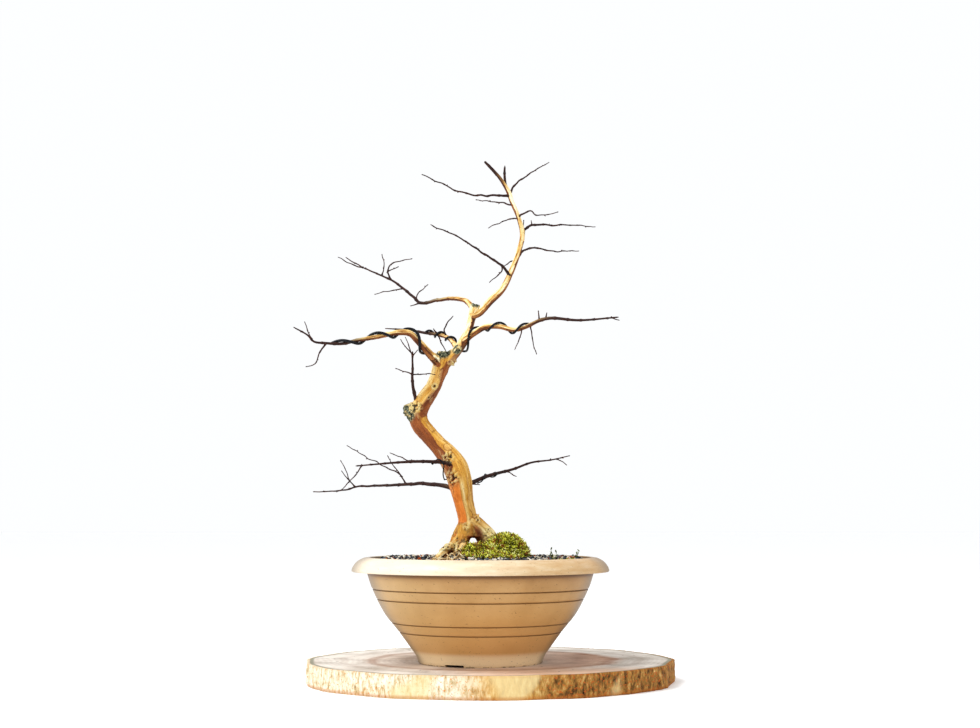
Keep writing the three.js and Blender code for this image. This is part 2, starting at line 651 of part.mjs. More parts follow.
// One wire serves two boughs, and is anchored where it passes behind the trunk.
const pairWire = [
  ...wound(leftRearBough, [0.48, 0.1], [-2.2, 2.5], MIDDLE_WIRE),
  ...across([[-20, 8, 207], [-15, 5, 206], [-13, -1, 208]]),
  ...wound(rightBough, [0.04, 0.47], [0.4, -2.6], MIDDLE_WIRE),
];
piece('pair_wire', trainingWire(pairWire, MIDDLE_WIRE), wireMaterial);

const lowWire = [
  ...wound(lowRightBough, [0.34, 0.16], [0.2, 1.3], THIN_WIRE),
  ...across([[-10, 13, 75], [-17, 12.5, 76], [-26, 11.5, 78], [-35, 5, 77], [-36, -4, 77],
    [-37, -11, 82]]),
  ...wound(lowLeftFrontBough, [0.16, 0.3], [0.5, 1.2], THIN_WIRE),
];
piece('low_wire', trainingWire(lowWire, THIN_WIRE), wireMaterial);

export default bonsai;
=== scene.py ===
# %% [markdown]
# # A bare winter bonsai in its training pot
# The tree, its pot, the grit and moss that it grows in, the wires that train it and the slice
# of log that it stands on are made here, piece by piece, round a packed CAD model that gives
# every place and size. The tree faces -Y. Lengths are written in millimetres and turned into
# metres where a mesh is made.

import math
import random

import bmesh
import bpy
import numpy as np
from mathutils import Matrix, Vector, noise
from mathutils.bvhtree import BVHTree
from mathutils.kdtree import KDTree


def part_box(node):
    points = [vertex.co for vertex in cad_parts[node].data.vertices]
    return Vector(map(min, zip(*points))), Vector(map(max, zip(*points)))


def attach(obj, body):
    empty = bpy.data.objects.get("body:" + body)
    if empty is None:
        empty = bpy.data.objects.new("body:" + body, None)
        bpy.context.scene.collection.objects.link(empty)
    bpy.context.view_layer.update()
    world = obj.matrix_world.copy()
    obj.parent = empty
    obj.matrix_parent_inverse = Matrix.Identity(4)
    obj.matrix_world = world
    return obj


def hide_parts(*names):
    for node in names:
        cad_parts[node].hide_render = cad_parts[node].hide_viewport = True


MM = 0.001

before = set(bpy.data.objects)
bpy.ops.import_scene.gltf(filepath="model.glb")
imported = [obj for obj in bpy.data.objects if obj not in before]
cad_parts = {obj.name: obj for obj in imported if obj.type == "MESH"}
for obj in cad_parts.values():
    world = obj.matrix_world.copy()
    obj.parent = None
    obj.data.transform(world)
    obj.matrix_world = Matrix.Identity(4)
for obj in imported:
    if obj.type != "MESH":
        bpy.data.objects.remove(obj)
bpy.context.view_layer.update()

# %% [markdown]
# ## Camera, light and floor
# A small tree is best looked at from a little over the rim of its pot, through a long lens,
# so that the bowl is seen almost from the side. The light is a white room: a pale world, one
# broad lamp over the tree and to its left, and a weak one in front. One strong lamp alone
# would give black shadows between the twigs. So much white light makes bark look washed out,
# and a view with a little more contrast brings its tones back.

# %% Camera
VIEW_DISTANCE = 1.65
VIEW_HEIGHT = 0.17
VIEW_SIDE = 0.0095
AIM_HIGHER = 0.148  # how far over the camera's own height it aims at the tree
VIEW_RISE = math.atan(AIM_HIGHER / VIEW_DISTANCE)
VIEW_LENS = 60.6

camera = bpy.data.objects.new("camera", bpy.data.cameras.new("camera"))
camera.data.lens = VIEW_LENS
camera.data.sensor_width = 36
camera.data.clip_start = 0.01
camera.data.clip_end = 50
camera.location = (VIEW_SIDE, -VIEW_DISTANCE, VIEW_HEIGHT)
camera.rotation_euler = (math.pi / 2 + VIEW_RISE, 0, 0)
bpy.context.scene.collection.objects.link(camera)
bpy.context.scene.camera = camera
bpy.context.scene.view_settings.view_transform = "Standard"
bpy.context.scene.view_settings.look = "Medium High Contrast"
print("camera looks up by", round(math.degrees(VIEW_RISE), 2), "degrees")


# %% Lamps and world
def lamp(name, place, aim, side, power):
    """A square lamp of this side in metres and this power in watts, turned to its aim."""
    light = bpy.data.lights.new(name, "AREA")
    light.shape = "SQUARE"
    light.size = side
    light.energy = power
    made = bpy.data.objects.new(name, light)
    made.location = place
    way = Vector(aim) - Vector(place)
    made.rotation_euler = way.to_track_quat("-Z", "Y").to_euler()
    bpy.context.scene.collection.objects.link(made)


lamp("broad_lamp", (-0.9, -0.5, 1.8), (0, 0, 0.25), 0.8, 20)
lamp("front_lamp", (-0.8, -2.2, 0.9), (0, 0, 0.2), 1.0, 3)

world = bpy.data.worlds.new("white_room")
world.use_nodes = True
sky = world.node_tree.nodes["Background"]
sky.inputs["Color"].default_value = (0.98, 0.99, 1, 1)
sky.inputs["Strength"].default_value = 0.84
bpy.context.scene.world = world

# %% [markdown]
# ## How a finish is written
# Every finish here is a small network of nodes. Two helpers keep it readable. `Share` wraps
# one socket, so that `0.3 + 0.7 * mask` adds the Math nodes by itself. `Finish` wraps one
# material, and its method `node` makes any other node from its type, its settings and its
# inputs. Colours never go through Math nodes, because those turn them grey.


# %% A socket that can be reckoned with
class Share:
    """A value that varies over a surface."""

    def __init__(self, finish, socket):
        self.finish = finish
        self.socket = socket

    def _math(self, operation, first, second):
        settings = {"operation": operation}
        return self.finish.node("ShaderNodeMath", settings, {0: first, 1: second})

    def __add__(self, other):
        return self._math("ADD", self, other)

    __radd__ = __add__

    def __sub__(self, other):
        return self._math("SUBTRACT", self, other)

    def __rsub__(self, other):
        return self._math("SUBTRACT", other, self)

    def __mul__(self, other):
        return self._math("MULTIPLY", self, other)

    __rmul__ = __mul__

    def __pow__(self, other):
        return self._math("POWER", self, other)

    def least(self, other):
        return self._math("MINIMUM", self, other)


print("Share has", sum(map(callable, vars(Share).values())), "methods")


# %% Colours and socket names
def colour(code):
    """A colour written as six hex digits, as the linear numbers that a shader wants."""
    parts = [int(code[i : i + 2], 16) / 255 for i in (0, 2, 4)]
    linear = [c / 12.92 if c <= 0.04045 else ((c + 0.055) / 1.055) ** 2.4 for c in parts]
    return (*linear, 1)


def socket_name(word):
    """base_color is Base Color, and specular_ior_level is Specular IOR Level."""
    return word.replace("_", " ").title().replace("Ior", "IOR")


print("a mid grey is", round(colour("808080")[0], 3), "for a shader")


# %% One material
class Finish:
    """A material, and the methods that add nodes to it."""

    def __init__(self, name, **constants):
        self.material = bpy.data.materials.new(name)
        self.material.use_nodes = True
        self.tree = self.material.node_tree
        self.shader = self.tree.nodes["Principled BSDF"]
        for socket, value in constants.items():
            self.shader.inputs[socket_name(socket)].default_value = value
        self.place = self.node("ShaderNodeTexCoord", output="Object")

    def node(self, kind, settings=None, inputs=None, output=0):
        made = self.tree.nodes.new(kind)
        for name, value in (settings or {}).items():
            if name == "stops":
                self._stops(made.color_ramp, value)
            else:
                setattr(made, name, value)
        for name, value in (inputs or {}).items():
            if isinstance(value, Share):
                self.tree.links.new(value.socket, made.inputs[name])
            else:
                made.inputs[name].default_value = value
        return Share(self, made.outputs[output])

    @staticmethod
    def _stops(ramp, stops):
        while len(ramp.elements) < len(stops):
            ramp.elements.new(0.5)
        for element, (position, code) in zip(ramp.elements, stops):
            element.position = position
            element.color = colour(code)

    def noise(self, where, size, detail, roughness):
        """Cloudy noise whose patches are about `size` metres across."""
        inputs = {"Vector": where, "Scale": 1 / size, "Detail": detail, "Roughness": roughness}
        return self.node("ShaderNodeTexNoise", {}, inputs, "Fac")

    def stretched(self, where, scale):
        return self.node("ShaderNodeMapping", {}, {"Vector": where, "Scale": scale})

    def between(self, value, low, high):
        """0 up to `low`, 1 from `high`, and smooth between."""
        settings = {"interpolation_type": "SMOOTHSTEP"}
        inputs = {"Value": value, "From Min": low, "From Max": high}
        return self.node("ShaderNodeMapRange", settings, inputs)

    def ramp(self, value, *stops):
        return self.node("ShaderNodeValToRGB", {"stops": stops}, {"Fac": value})

    def mix(self, share, first, second):
        """A colour on the way from the first, at 0, to the second, at 1."""
        first, second = (colour(c) if isinstance(c, str) else c for c in (first, second))
        settings = {"data_type": "RGBA"}
        return self.node("ShaderNodeMix", settings, {0: share, 6: first, 7: second}, 2)

    def coats(self, base, *coats):
        """The base with coats over it, each a share and a colour, the last on top."""
        for share, over in coats:
            base = self.mix(share, base, over)
        return base

    def attribute(self, name, output="Vector"):
        return self.node("ShaderNodeAttribute", {"attribute_name": name}, {}, output)

    def axes(self, vector):
        parts = ("X", "Y", "Z")
        return [self.node("ShaderNodeSeparateXYZ", {}, {0: vector}, part) for part in parts]

    def bumps(self, height, distance, strength):
        inputs = {"Height": height, "Distance": distance, "Strength": strength}
        return self.node("ShaderNodeBump", {}, inputs)

    def paint(self, **varying):
        for name, share in varying.items():
            self.tree.links.new(share.socket, self.shader.inputs[socket_name(name)])
        return self.material


def mottled(name, size, *stops, bump=0, **constants):
    """A plain finish whose colour wanders over patches of about `size` metres."""
    made = Finish(name, **constants)
    cloud = made.noise(made.place, size, 3, 0.6)
    painted = {"base_color": made.ramp(cloud, *stops)}
    if bump:
        painted["normal"] = made.bumps(cloud, bump, 0.5)
    return made.paint(**painted)


print("Finish has", sum(map(callable, vars(Finish).values())), "methods")

# %% [markdown]
# ## How a piece is kept
# A piece is made as a mesh in place, in metres. `keep` gives it an object at the origin, its
# finish and the CAD body that it rides on, and hides the CAD nodes that it stands for.


# %% Keeping a piece
def mesh_from(shape, name):
    mesh = bpy.data.meshes.new(name)
    shape.to_mesh(mesh)
    shape.free()
    return mesh


def keep(name, mesh, finishes, stands_for=(), smooth=True):
    """Makes a piece of a mesh, hangs it on what it rides on, and hides the CAD nodes it stands for.
    """
    made = bpy.data.objects.new(name, mesh)
    mesh.name = name
    mesh.materials.clear()
    for material in finishes:
        mesh.materials.append(material)
    if smooth:
        mesh.shade_smooth()
    bpy.context.scene.collection.objects.link(made)
    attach(made, "root")
    if stands_for:
        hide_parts(*stands_for)
    mesh.calc_loop_triangles()
    print(name, "has", len(mesh.loop_triangles), "triangles")
    return made


def with_modifiers(mesh, *modifiers):
    """The mesh as it is after these modifiers, each a type and its settings."""
    carrier = bpy.data.objects.new("carrier", mesh)
    bpy.context.scene.collection.objects.link(carrier)
    for kind, settings in modifiers:
        modifier = carrier.modifiers.new(kind.lower(), kind)
        for name, value in settings.items():
            setattr(modifier, name, value)
    graph = bpy.context.evaluated_depsgraph_get()
    result = bpy.data.meshes.new_from_object(carrier.evaluated_get(graph))
    bpy.data.objects.remove(carrier)
    return result


# %% Corners, and notes kept for them
def corners(mesh):
    """The places of a mesh's corners, in metres."""
    places = np.empty(len(mesh.vertices) * 3, np.float32)
    mesh.vertices.foreach_get("co", places)
    return places.reshape(-1, 3).astype(float)


def set_corners(mesh, places):
    mesh.vertices.foreach_set("co", np.asarray(places, np.float32).ravel())
    mesh.update()


def note(mesh, name, values):
    """Keeps a number, or three, for each corner, which a finish reads by name."""
    values = np.asarray(values, np.float32)
    kind, field = ("FLOAT", "value") if values.ndim == 1 else ("FLOAT_VECTOR", "vector")
    mesh.attributes.new(name, kind, "POINT").data.foreach_set(field, values.ravel())


def smoothstep(value, low, high):
    """0 up to `low`, 1 from `high`, and smooth between."""
    part = np.clip((np.asarray(value, float) - low) / (high - low), 0, 1)
    return part * part * (3 - 2 * part)


print("a quarter of the way up a smooth step is", float(smoothstep(0.25, 0, 1)))


# %% [markdown]
# ## Floor
# The floor is only there to stand on and to bounce light, so it is plain and pale.

# %% Floor
floor_shape = bmesh.new()
bmesh.ops.create_grid(floor_shape, x_segments=1, y_segments=1, size=12)
floor_finish = Finish("pale_floor", base_color=colour("FFFFFF"), roughness=1.0)
floor = bpy.data.objects.new("floor", mesh_from(floor_shape, "floor"))
floor.data.materials.append(floor_finish.material)
bpy.context.scene.collection.objects.link(floor)
print("floor is", round(floor.dimensions.x), "m wide")

# %% [markdown]
# ## Lines in the air
# A bough is a line with a thickness. Its line passes through a few points, and between them
# it follows a Catmull-Rom spline, which needs no handles. The CAD model draws its limbs the
# same way, so the fine wood made here lies where the plain one does.

# %% A smooth line through points
RIM_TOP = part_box("pot")[1].z / MM
TAPER = 0.7
STRETCH_STEPS = 12  # points of a spline in each of its stretches


def spline(points):
    """Points on a centripetal Catmull-Rom line."""
    points = np.asarray(points, float)
    ends = 2 * points[0] - points[1], 2 * points[-1] - points[-2]
    knots = np.vstack([ends[0], points, ends[1]])
    part = np.arange(STRETCH_STEPS)[:, None] / STRETCH_STEPS
    line = []
    for a, b, c, d in zip(knots, knots[1:], knots[2:], knots[3:]):
        gaps = [max(np.linalg.norm(q - p) ** 0.5, 1e-4) for p, q in ((a, b), (b, c), (c, d))]
        out = (b - a) / gaps[0] - (c - a) / (gaps[0] + gaps[1]) + (c - b) / gaps[1]
        back = (c - b) / gaps[1] - (d - b) / (gaps[1] + gaps[2]) + (d - c) / gaps[2]
        out, back = out * gaps[1], back * gaps[1]
        bend = -3 * b + 3 * c - 2 * out - back
        twist = 2 * b - 2 * c + out + back
        line.append(b + out * part + bend * part**2 + twist * part**3)
    return np.vstack([*line, points[-1:]])


print("a spline through 3 points has", len(spline([(0, 0, 0), (5, 0, 3), (10, 0, 0)])), "points")


# %% A line with an even measure
class Line:
    """A line in the air with an even measure along it. Lengths are in millimetres."""

    def __init__(self, points, step=0.5):
        rough = spline(points)
        self.rough_run = np.r_[0, np.cumsum(np.linalg.norm(np.diff(rough, axis=0), axis=1))]
        self.length = self.rough_run[-1]
        count = max(4, math.ceil(self.length / step))
        self.run = np.linspace(0, self.length, count + 1)
        self.points = np.column_stack(
            [np.interp(self.run, self.rough_run, rough[:, i]) for i in range(3)]
        )
        self.find_frames()

    def find_frames(self):
        """Three directions at each point: along the line, and two across it."""
        ways = np.gradient(self.points, axis=0)
        self.ways = ways / np.linalg.norm(ways, axis=1)[:, None]
        side = np.cross(self.ways[0], (0.3, 1, 0.2))
        sides = []
        for way in self.ways:
            side = side - way * (side @ way)
            side = side / np.linalg.norm(side)
            sides.append(side)
        self.sides = np.array(sides)
        self.ups = np.cross(self.ways, self.sides)

    def at(self, run, of=None):
        """The place this far along, or another of the line's values there."""
        of = self.points if of is None else of
        return np.array([np.interp(run, self.run, of[:, i]) for i in range(3)])


print("a bow of 10 mm is", round(Line([(0, 0, 0), (5, 0, 3), (10, 0, 0)]).length, 1), "mm long")


# %% A line with a thickness
class Limb(Line):
    """A line with a thickness, given at each of its points or at its two ends."""

    def __init__(self, line, thick=None):
        points = np.array([point[:3] for point in line], float) + (0, 0, RIM_TOP)
        super().__init__(points)
        if thick is None:
            places = self.rough_run[::STRETCH_STEPS]
            self.radii = np.interp(self.run, places, [point[3] for point in line])
        else:
            base, tip = thick
            self.radii = base + (tip - base) * (self.run / self.length) ** TAPER
        self.age = 1.0  # less than 1 where the bark is younger than the girth tells

    def radius(self, run):
        return float(np.interp(run, self.run, self.radii))


print("the rim lies", round(RIM_TOP, 1), "mm over the floor")

# %% [markdown]
# ## The tree's limbs
# The trunk leans left out of its arched roots, turns at an old cut, and goes on to the right
# in a thinner leader. This is how such a tree is grown: the strongest shoot is cut away every
# few years and a side shoot takes over, and the cuts stay as knots. The limbs are given from
# the pot's axis and up from its rim.

# %% Trunk, leader and roots
trunk = Limb([
    [-13, 0, 20, 12], [-13, 0, 38, 9.3], [-17, -1, 56, 9.5], [-20, -3, 73, 11.6],
    [-25, -2, 89, 12.4], [-33, 1, 101, 10.6], [-43, 4, 112, 8.8], [-52, 6, 122, 8.8],
    [-61, 8, 133, 9], [-63, 9, 144, 9.6], [-57, 8, 156, 8.4], [-49, 6, 168, 7.5],
    [-44, 5, 179, 7.6], [-40, 4, 190, 8.4], [-37, 3, 200, 8], [-37, 3, 205, 7.4],
])
leader = Limb([
    [-38, 3, 193, 6.5], [-30, 2, 200, 6], [-24, 0, 206, 4.8], [-17, -2, 216, 4.7],
    [-12, -4, 227, 3.6], [-9, -6, 238, 3.6], [-7, -7, 246, 4.6], [-5, -8, 252, 4.3],
])
crown = Limb([
    [-8, -7, 241, 4], [-2, -7, 243, 3.9], [9, -9, 254, 3.6], [22, -11, 267, 3.3],
    [32, -13, 288, 2.8], [40, -15, 311, 2.4], [42, -16, 322, 2.7], [38, -17, 339, 2.4],
    [31, -19, 355, 2.3], [29, -19, 362, 2.6], [22, -21, 374, 2], [14, -22, 384, 1.6],
    [4, -24, 394, 1.2],
])
roots = [
    Limb(line)
    for line in (
        [[-13, 0, 34, 8.6], [-15, -2, 25, 7.2], [-22, -4, 15, 6], [-31, -7, 8, 4.8],
         [-45, -13, -4, 3.4], [-55, -19, -12, 2.4]],
        [[-15, -2, 27, 7], [-17, -8, 16, 5.8], [-19, -15, 5, 4.6], [-22, -22, -9, 2.8]],
        [[-11, 0, 36, 9.4], [-2, 2, 28, 9.4], [7, 4, 19, 9.4], [14, 6, 8, 8.4],
         [20, 8, -4, 6], [25, 10, -17, 3.4]],
        [[-16, 4, 29, 8], [-23, 16, 19, 6.2], [-30, 28, 6, 4.6], [-36, 38, -8, 3]],
    )
]
print("trunk", round(trunk.length), "mm, leader and crown",
      round(leader.length + crown.length), "mm")


# %% Boughs that are wired
left_bough = Limb([
    [-41, 1, 193], [-50, -8, 201], [-63, -18, 215], [-70, -23, 221], [-82, -30, 221],
    [-103, -44, 215], [-120, -53, 211], [-134, -60, 207], [-150, -66, 207], [-160, -70, 208],
    [-166, -73, 214], [-177, -79, 220],
], [4.8, 0.6])
left_rear_bough = Limb([
    [-23, 2, 207], [-31, 10, 219], [-42, 18, 224], [-57, 27, 227], [-74, 37, 231],
    [-98, 50, 234],
], [3, 0.5])
right_bough = Limb([
    [-17, -3, 216], [-6, -10, 223], [5, -17, 228], [18, -23, 228], [33, -29, 224],
    [44, -34, 226], [58, -39, 232], [69, -42, 234], [96, -50, 231], [133, -58, 233],
], [3.7, 0.7])
low_right_bough = Limb([
    [-17, 2, 69], [-6, 9, 75], [8, 18, 81], [33, 33, 88], [52, 41, 95], [73, 48, 98],
    [90, 53, 102],
], [2.6, 0.5])
low_left_front_bough = Limb([
    [-24, -7, 86], [-31, -14, 92], [-50, -24, 94], [-76, -38, 93], [-119, -53, 89],
], [2.4, 0.6])
wired_boughs = [
    left_bough, left_rear_bough, right_bough, low_right_bough, low_left_front_bough,
]
print(len(wired_boughs), "wired boughs")

# %% Old cuts and burrs on the trunk
elbow_cut = Limb([[-62, 9, 144], [-70, 9, 146], [-77, 8, 147]], [9, 8.2])
burrs = [
    Limb([[-24, -6, 78], [-29, -10, 78]], [8, 5.5]),
    Limb([[-31, -2, 100], [-33, -9, 101]], [7, 4.4]),
]
peg = Limb([[-6, -1, 33], [-3, -3, 39], [-1.5, -3, 43]], [1.8, 0.9])
print("the elbow's cut sticks out by", round(elbow_cut.length), "mm")

# %% Free boughs
free_boughs = [
    Limb([[-24, 2, 67], [-38, 11, 71], [-61, 24, 73], [-91, 37, 72], [-129, 49, 70],
          [-140, 51, 67], [-171, 57, 65]], [2.6, 0.5]),
    Limb([[-64, 7, 153], [-66, 3, 161], [-68, -2, 173], [-68, -6, 193], [-68, -8, 203]],
         [2.2, 0.8]),
    Limb([[-7, -6, 247], [-14, 2, 256], [-23, 11, 260], [-41, 24, 261], [-62, 36, 259],
          [-69, 39, 265], [-89, 47, 282], [-106, 53, 291], [-125, 59, 300], [-141, 64, 310]],
         [2.8, 0.5]),
]
crown_stub = Limb([[25, -20, 370], [24, -21, 379], [24, -22, 388]], [1.7, 1])
print(len(free_boughs), "free boughs")

# %% Twigs, bough by bough
twigs = [
    Limb(line, thick)
    for line, thick in (
        # on the low left bough at the back
        [[[-76, 31, 73], [-84, 34, 84], [-99, 38, 91], [-137, 50, 112]], [0.8, 0.4]],
        [[[-80, 33, 80], [-88, 23, 91], [-94, 16, 100]], [0.6, 0.4]],
        [[[-129, 49, 70], [-134, 46, 76], [-142, 41, 85]], [0.8, 0.4]],
        [[[-135, 46, 77], [-140, 49, 89], [-143, 51, 96]], [0.5, 0.4]],
        # on the low left bough at the front
        [[[-114, -52, 90], [-120, -55, 81], [-132, -62, 67]], [0.7, 0.4]],
        [[[-62, -31, 94], [-76, -18, 97], [-89, -9, 103]], [0.8, 0.4]],
        # on the low right bough
        [[[78, 49, 99], [84, 46, 96], [87, 43, 93]], [0.6, 0.4]],
        [[[25, 29, 86], [31, 25, 83], [35, 21, 81]], [0.7, 0.4]],
        [[[-9, 6, 73], [-5, 1, 72], [-1, -5, 72]], [0.8, 0.4]],
        # on the upright shoot over the elbow
        [[[-69, -3, 182], [-55, -16, 181], [-46, -24, 181]], [0.7, 0.4]],
        [[[-68, -4, 182], [-74, -2, 184], [-84, 2, 188]], [0.7, 0.4]],
        [[[-68, -8, 202], [-75, -10, 209], [-79, -12, 215]], [0.7, 0.4]],
        [[[-68, -7, 201], [-71, -4, 207], [-75, 2, 219]], [0.7, 0.4]],
        [[[-68, -7, 200], [-64, -9, 205]], [0.6, 0.4]],
        # on the wired left bough
        [[[-162, -72, 210], [-166, -68, 218], [-169, -63, 227]], [0.7, 0.4]],
        [[[-149, -66, 207], [-154, -71, 197], [-158, -75, 187], [-165, -78, 183]], [1, 0.4]],
        # on the rear left bough
        [[[-35, 13, 222], [-37, 11, 229], [-29, 8, 241]], [0.9, 0.5]],
        [[[-44, 19, 225], [-41, 15, 218], [-36, 10, 208]], [0.8, 0.5]],
        [[[-43, 18, 224], [-47, 17, 229]], [0.9, 0.7]],
        # on the wired right bough
        [[[41, -33, 225], [38, -37, 213], [34, -40, 204]], [0.7, 0.4]],
        [[[49, -36, 228], [51, -32, 215], [55, -27, 201]], [0.7, 0.4]],
        [[[58, -39, 231], [57, -39, 240]], [1, 0.5]],
        [[[64, -41, 233], [65, -41, 238]], [0.9, 0.5]],
        [[[127, -57, 233], [134, -55, 231]], [0.7, 0.4]],
        # on the high left bough at the back
        [[[-62, 36, 259], [-71, 33, 256]], [1, 0.4]],
        [[[-67, 38, 263], [-65, 43, 269], [-56, 51, 279]], [0.7, 0.4]],
        [[[-80, 44, 275], [-92, 52, 274], [-110, 62, 272]], [0.7, 0.4]],
        [[[-94, 49, 285], [-97, 46, 293], [-93, 42, 300], [-73, 36, 305]], [1, 0.4]],
        [[[-97, 46, 293], [-87, 52, 298]], [0.6, 0.4]],
        [[[-103, 52, 290], [-101, 57, 302], [-103, 60, 312]], [0.7, 0.4]],
        [[[-123, 58, 299], [-136, 54, 302], [-147, 47, 308]], [0.7, 0.4]],
        # round the crown
        [[[29, -19, 360], [33, -17, 370], [53, -3, 388], [69, 9, 400]], [1.2, 0.4]],
        [[[29, -19, 360], [16, -28, 359], [-4, -43, 356], [-22, -55, 358], [-55, -74, 370]],
         [1.3, 0.5]],
        [[[33, -18, 351], [19, -4, 356], [-4, 18, 363]], [0.9, 0.4]],
        [[[38, -17, 339], [49, -31, 343], [57, -38, 337], [75, -52, 337]], [1, 0.4]],
        [[[38, -17, 338], [23, 2, 338], [9, 16, 334]], [0.8, 0.4]],
        [[[42, -16, 322], [49, -9, 331], [69, 6, 335], [117, 33, 338]], [1.5, 0.4]],
        [[[52, -6, 332], [51, -7, 336]], [0.7, 0.4]],
        [[[42, -15, 324], [44, -12, 335]], [0.8, 0.4]],
        [[[36, -14, 298], [43, -7, 306], [54, 3, 311], [73, 17, 310], [100, 34, 313]],
         [1.3, 0.4]],
        [[[29, -13, 281], [22, -20, 289], [1, -39, 300], [-24, -58, 313], [-47, -72, 321]],
         [1.5, 0.5]],
        [[[22, -20, 289], [20, -15, 283], [10, -9, 275]], [0.8, 0.4]],
        [[[35, -13, 295], [28, -5, 295], [22, 6, 290]], [0.8, 0.4]],
    )
]
for limb in (free_boughs[0], free_boughs[1], low_left_front_bough, low_right_bough):
    limb.age = 0.72
print(len(twigs), "twigs,", round(sum(twig.length for twig in twigs)), "mm in all")

# %% [markdown]
# ## Round forms along a line
# A limb, a root or a wire is a ring of corners that is drawn along its line, turned and
# scaled as it goes. The ring is extruded with an operator, ring after ring. A curve object
# with a bevel would be shorter, but it can't swell at the nodes of a twig.


# %% A tube along a line
def ring_frame(line, run, radius):
    """The matrix that takes a unit ring to its place on the line."""
    axes = (line.at(run, line.sides), line.at(run, line.ups), line.at(run, line.ways))
    turn = Matrix([(Vector(axis).normalized()) for axis in axes]).transposed().to_4x4()
    size = Matrix.Diagonal((radius * MM, radius * MM, radius * MM, 1))
    return Matrix.Translation(line.at(run) * MM) @ turn @ size


def tube(line, radius, sides, step, start=0.0, stop=None, round_end=0.0):
    """A closed tube as a mesh. `radius` gives the radius for a run along the line."""
    stop = line.length if stop is None else stop
    count = max(2, round((stop - start) / step))
    runs = [start + (stop - start) * i / count for i in range(count + 1)]
    shape = bmesh.new()
    first = bmesh.ops.create_circle(shape, cap_ends=True, segments=sides, radius=1)["verts"]
    before = ring_frame(line, runs[0], radius(runs[0]))
    bmesh.ops.transform(shape, matrix=before, verts=first)
    ring = shape.edges[:]
    for run in runs[1:]:
        after = ring_frame(line, run, radius(run))
        grown = bmesh.ops.extrude_edge_only(shape, edges=ring)["geom"]
        corner = [g for g in grown if isinstance(g, bmesh.types.BMVert)]
        ring = [g for g in grown if isinstance(g, bmesh.types.BMEdge)]
        bmesh.ops.transform(shape, matrix=after @ before.inverted(), verts=corner)
        before = after
    if round_end:
        grown = bmesh.ops.extrude_edge_only(shape, edges=ring)["geom"]
        corner = [g for g in grown if isinstance(g, bmesh.types.BMVert)]
        ring = [g for g in grown if isinstance(g, bmesh.types.BMEdge)]
        ahead = Vector(line.at(stop, line.ways)) * radius(stop) * round_end * MM
        middle = sum((v.co for v in corner), Vector()) / len(corner)
        shrink = Matrix.Translation(middle + ahead) @ Matrix.Scale(0.55, 4)
        bmesh.ops.transform(shape, matrix=shrink @ Matrix.Translation(-middle), verts=corner)
    bmesh.ops.contextual_create(shape, geom=ring)
    bmesh.ops.recalc_face_normals(shape, faces=shape.faces)
    return mesh_from(shape, "tube")


sample = tube(peg, peg.radius, 8, 1)
print("the peg as a tube has", len(sample.vertices), "corners")
bpy.data.meshes.remove(sample)


# %% Many meshes as one
def joined(meshes, name):
    """One mesh of many. The parts stay where they are, and are thrown away."""
    shape = bmesh.new()
    for mesh in meshes:
        shape.from_mesh(mesh)
        bpy.data.meshes.remove(mesh)
    return mesh_from(shape, name)


# %% [markdown]
# ## Heavy wood
# Trunk, roots, leader and the first stretch of every bough are one body of wood, and where
# two meet there is a smooth collar. The tubes are joined, turned into one skin with a voxel
# remesh, and smoothed, which fills the corners. Then the skin is pushed in and out: long
# flutes that follow the grain, wrinkles, burrs and old cuts. Sculpting by hand would do it
# too, but the same cuts then could not be made again from their numbers.

# %% Tubes for the heavy wood
WOOD_VOXEL = 0.8
TRUNK_SIDES = 24
BOUGH_SIDES = 16
BOUGH_START = 22  # mm of every bough that belong to the heavy wood


def collared(limb):
    """A bough's radius, with a collar at its foot and thinner where the twigs' mesh goes on."""
    def radius(run):
        collar = 1 + 0.35 * math.exp(-run / 5)
        return limb.radius(run) * collar * (
            1 - 0.3 * float(smoothstep(run, 0.5 * BOUGH_START, BOUGH_START)))
    return radius


def worn(limb):
    """The radius of a stub whose far end has worn round."""
    return lambda run: limb.radius(run) * (
        1 - 0.5 * float(smoothstep(run, 0.5 * limb.length, limb.length)) ** 1.5)


heavy = [tube(limb, limb.radius, TRUNK_SIDES, 2) for limb in (trunk, leader, crown, *roots)]
heavy.append(tube(elbow_cut, worn(elbow_cut), TRUNK_SIDES, 1))
heavy += [tube(limb, limb.radius, BOUGH_SIDES, 2) for limb in (*burrs, peg)]
heavy += [tube(limb, collared(limb), BOUGH_SIDES, 2, stop=BOUGH_START)
          for limb in (*wired_boughs, *free_boughs)]
heavy_mesh = joined(heavy, "heavy_wood")
wood = with_modifiers(
    heavy_mesh,
    ("REMESH", {"mode": "VOXEL", "voxel_size": WOOD_VOXEL * MM, "adaptivity": 0.0}),
    ("SMOOTH", {"factor": 0.5, "iterations": 9}),
)
print("heavy wood has", len(wood.vertices), "corners")

# %% [markdown]
# Every corner of the wood is told where it lies on its limb: how far along, and where round
# it. Patterns that follow the grain then run on through every bend of the trunk.


# %% The grain of the wood
LIMB_GAP = 400  # mm between two limbs' grains, so that their patterns differ
POINT_SKIP = 3  # every third point of a limb is near enough to measure from
POINTS_TRIED = 26  # for each corner, so that a thin bough doesn't win from the trunk beside it


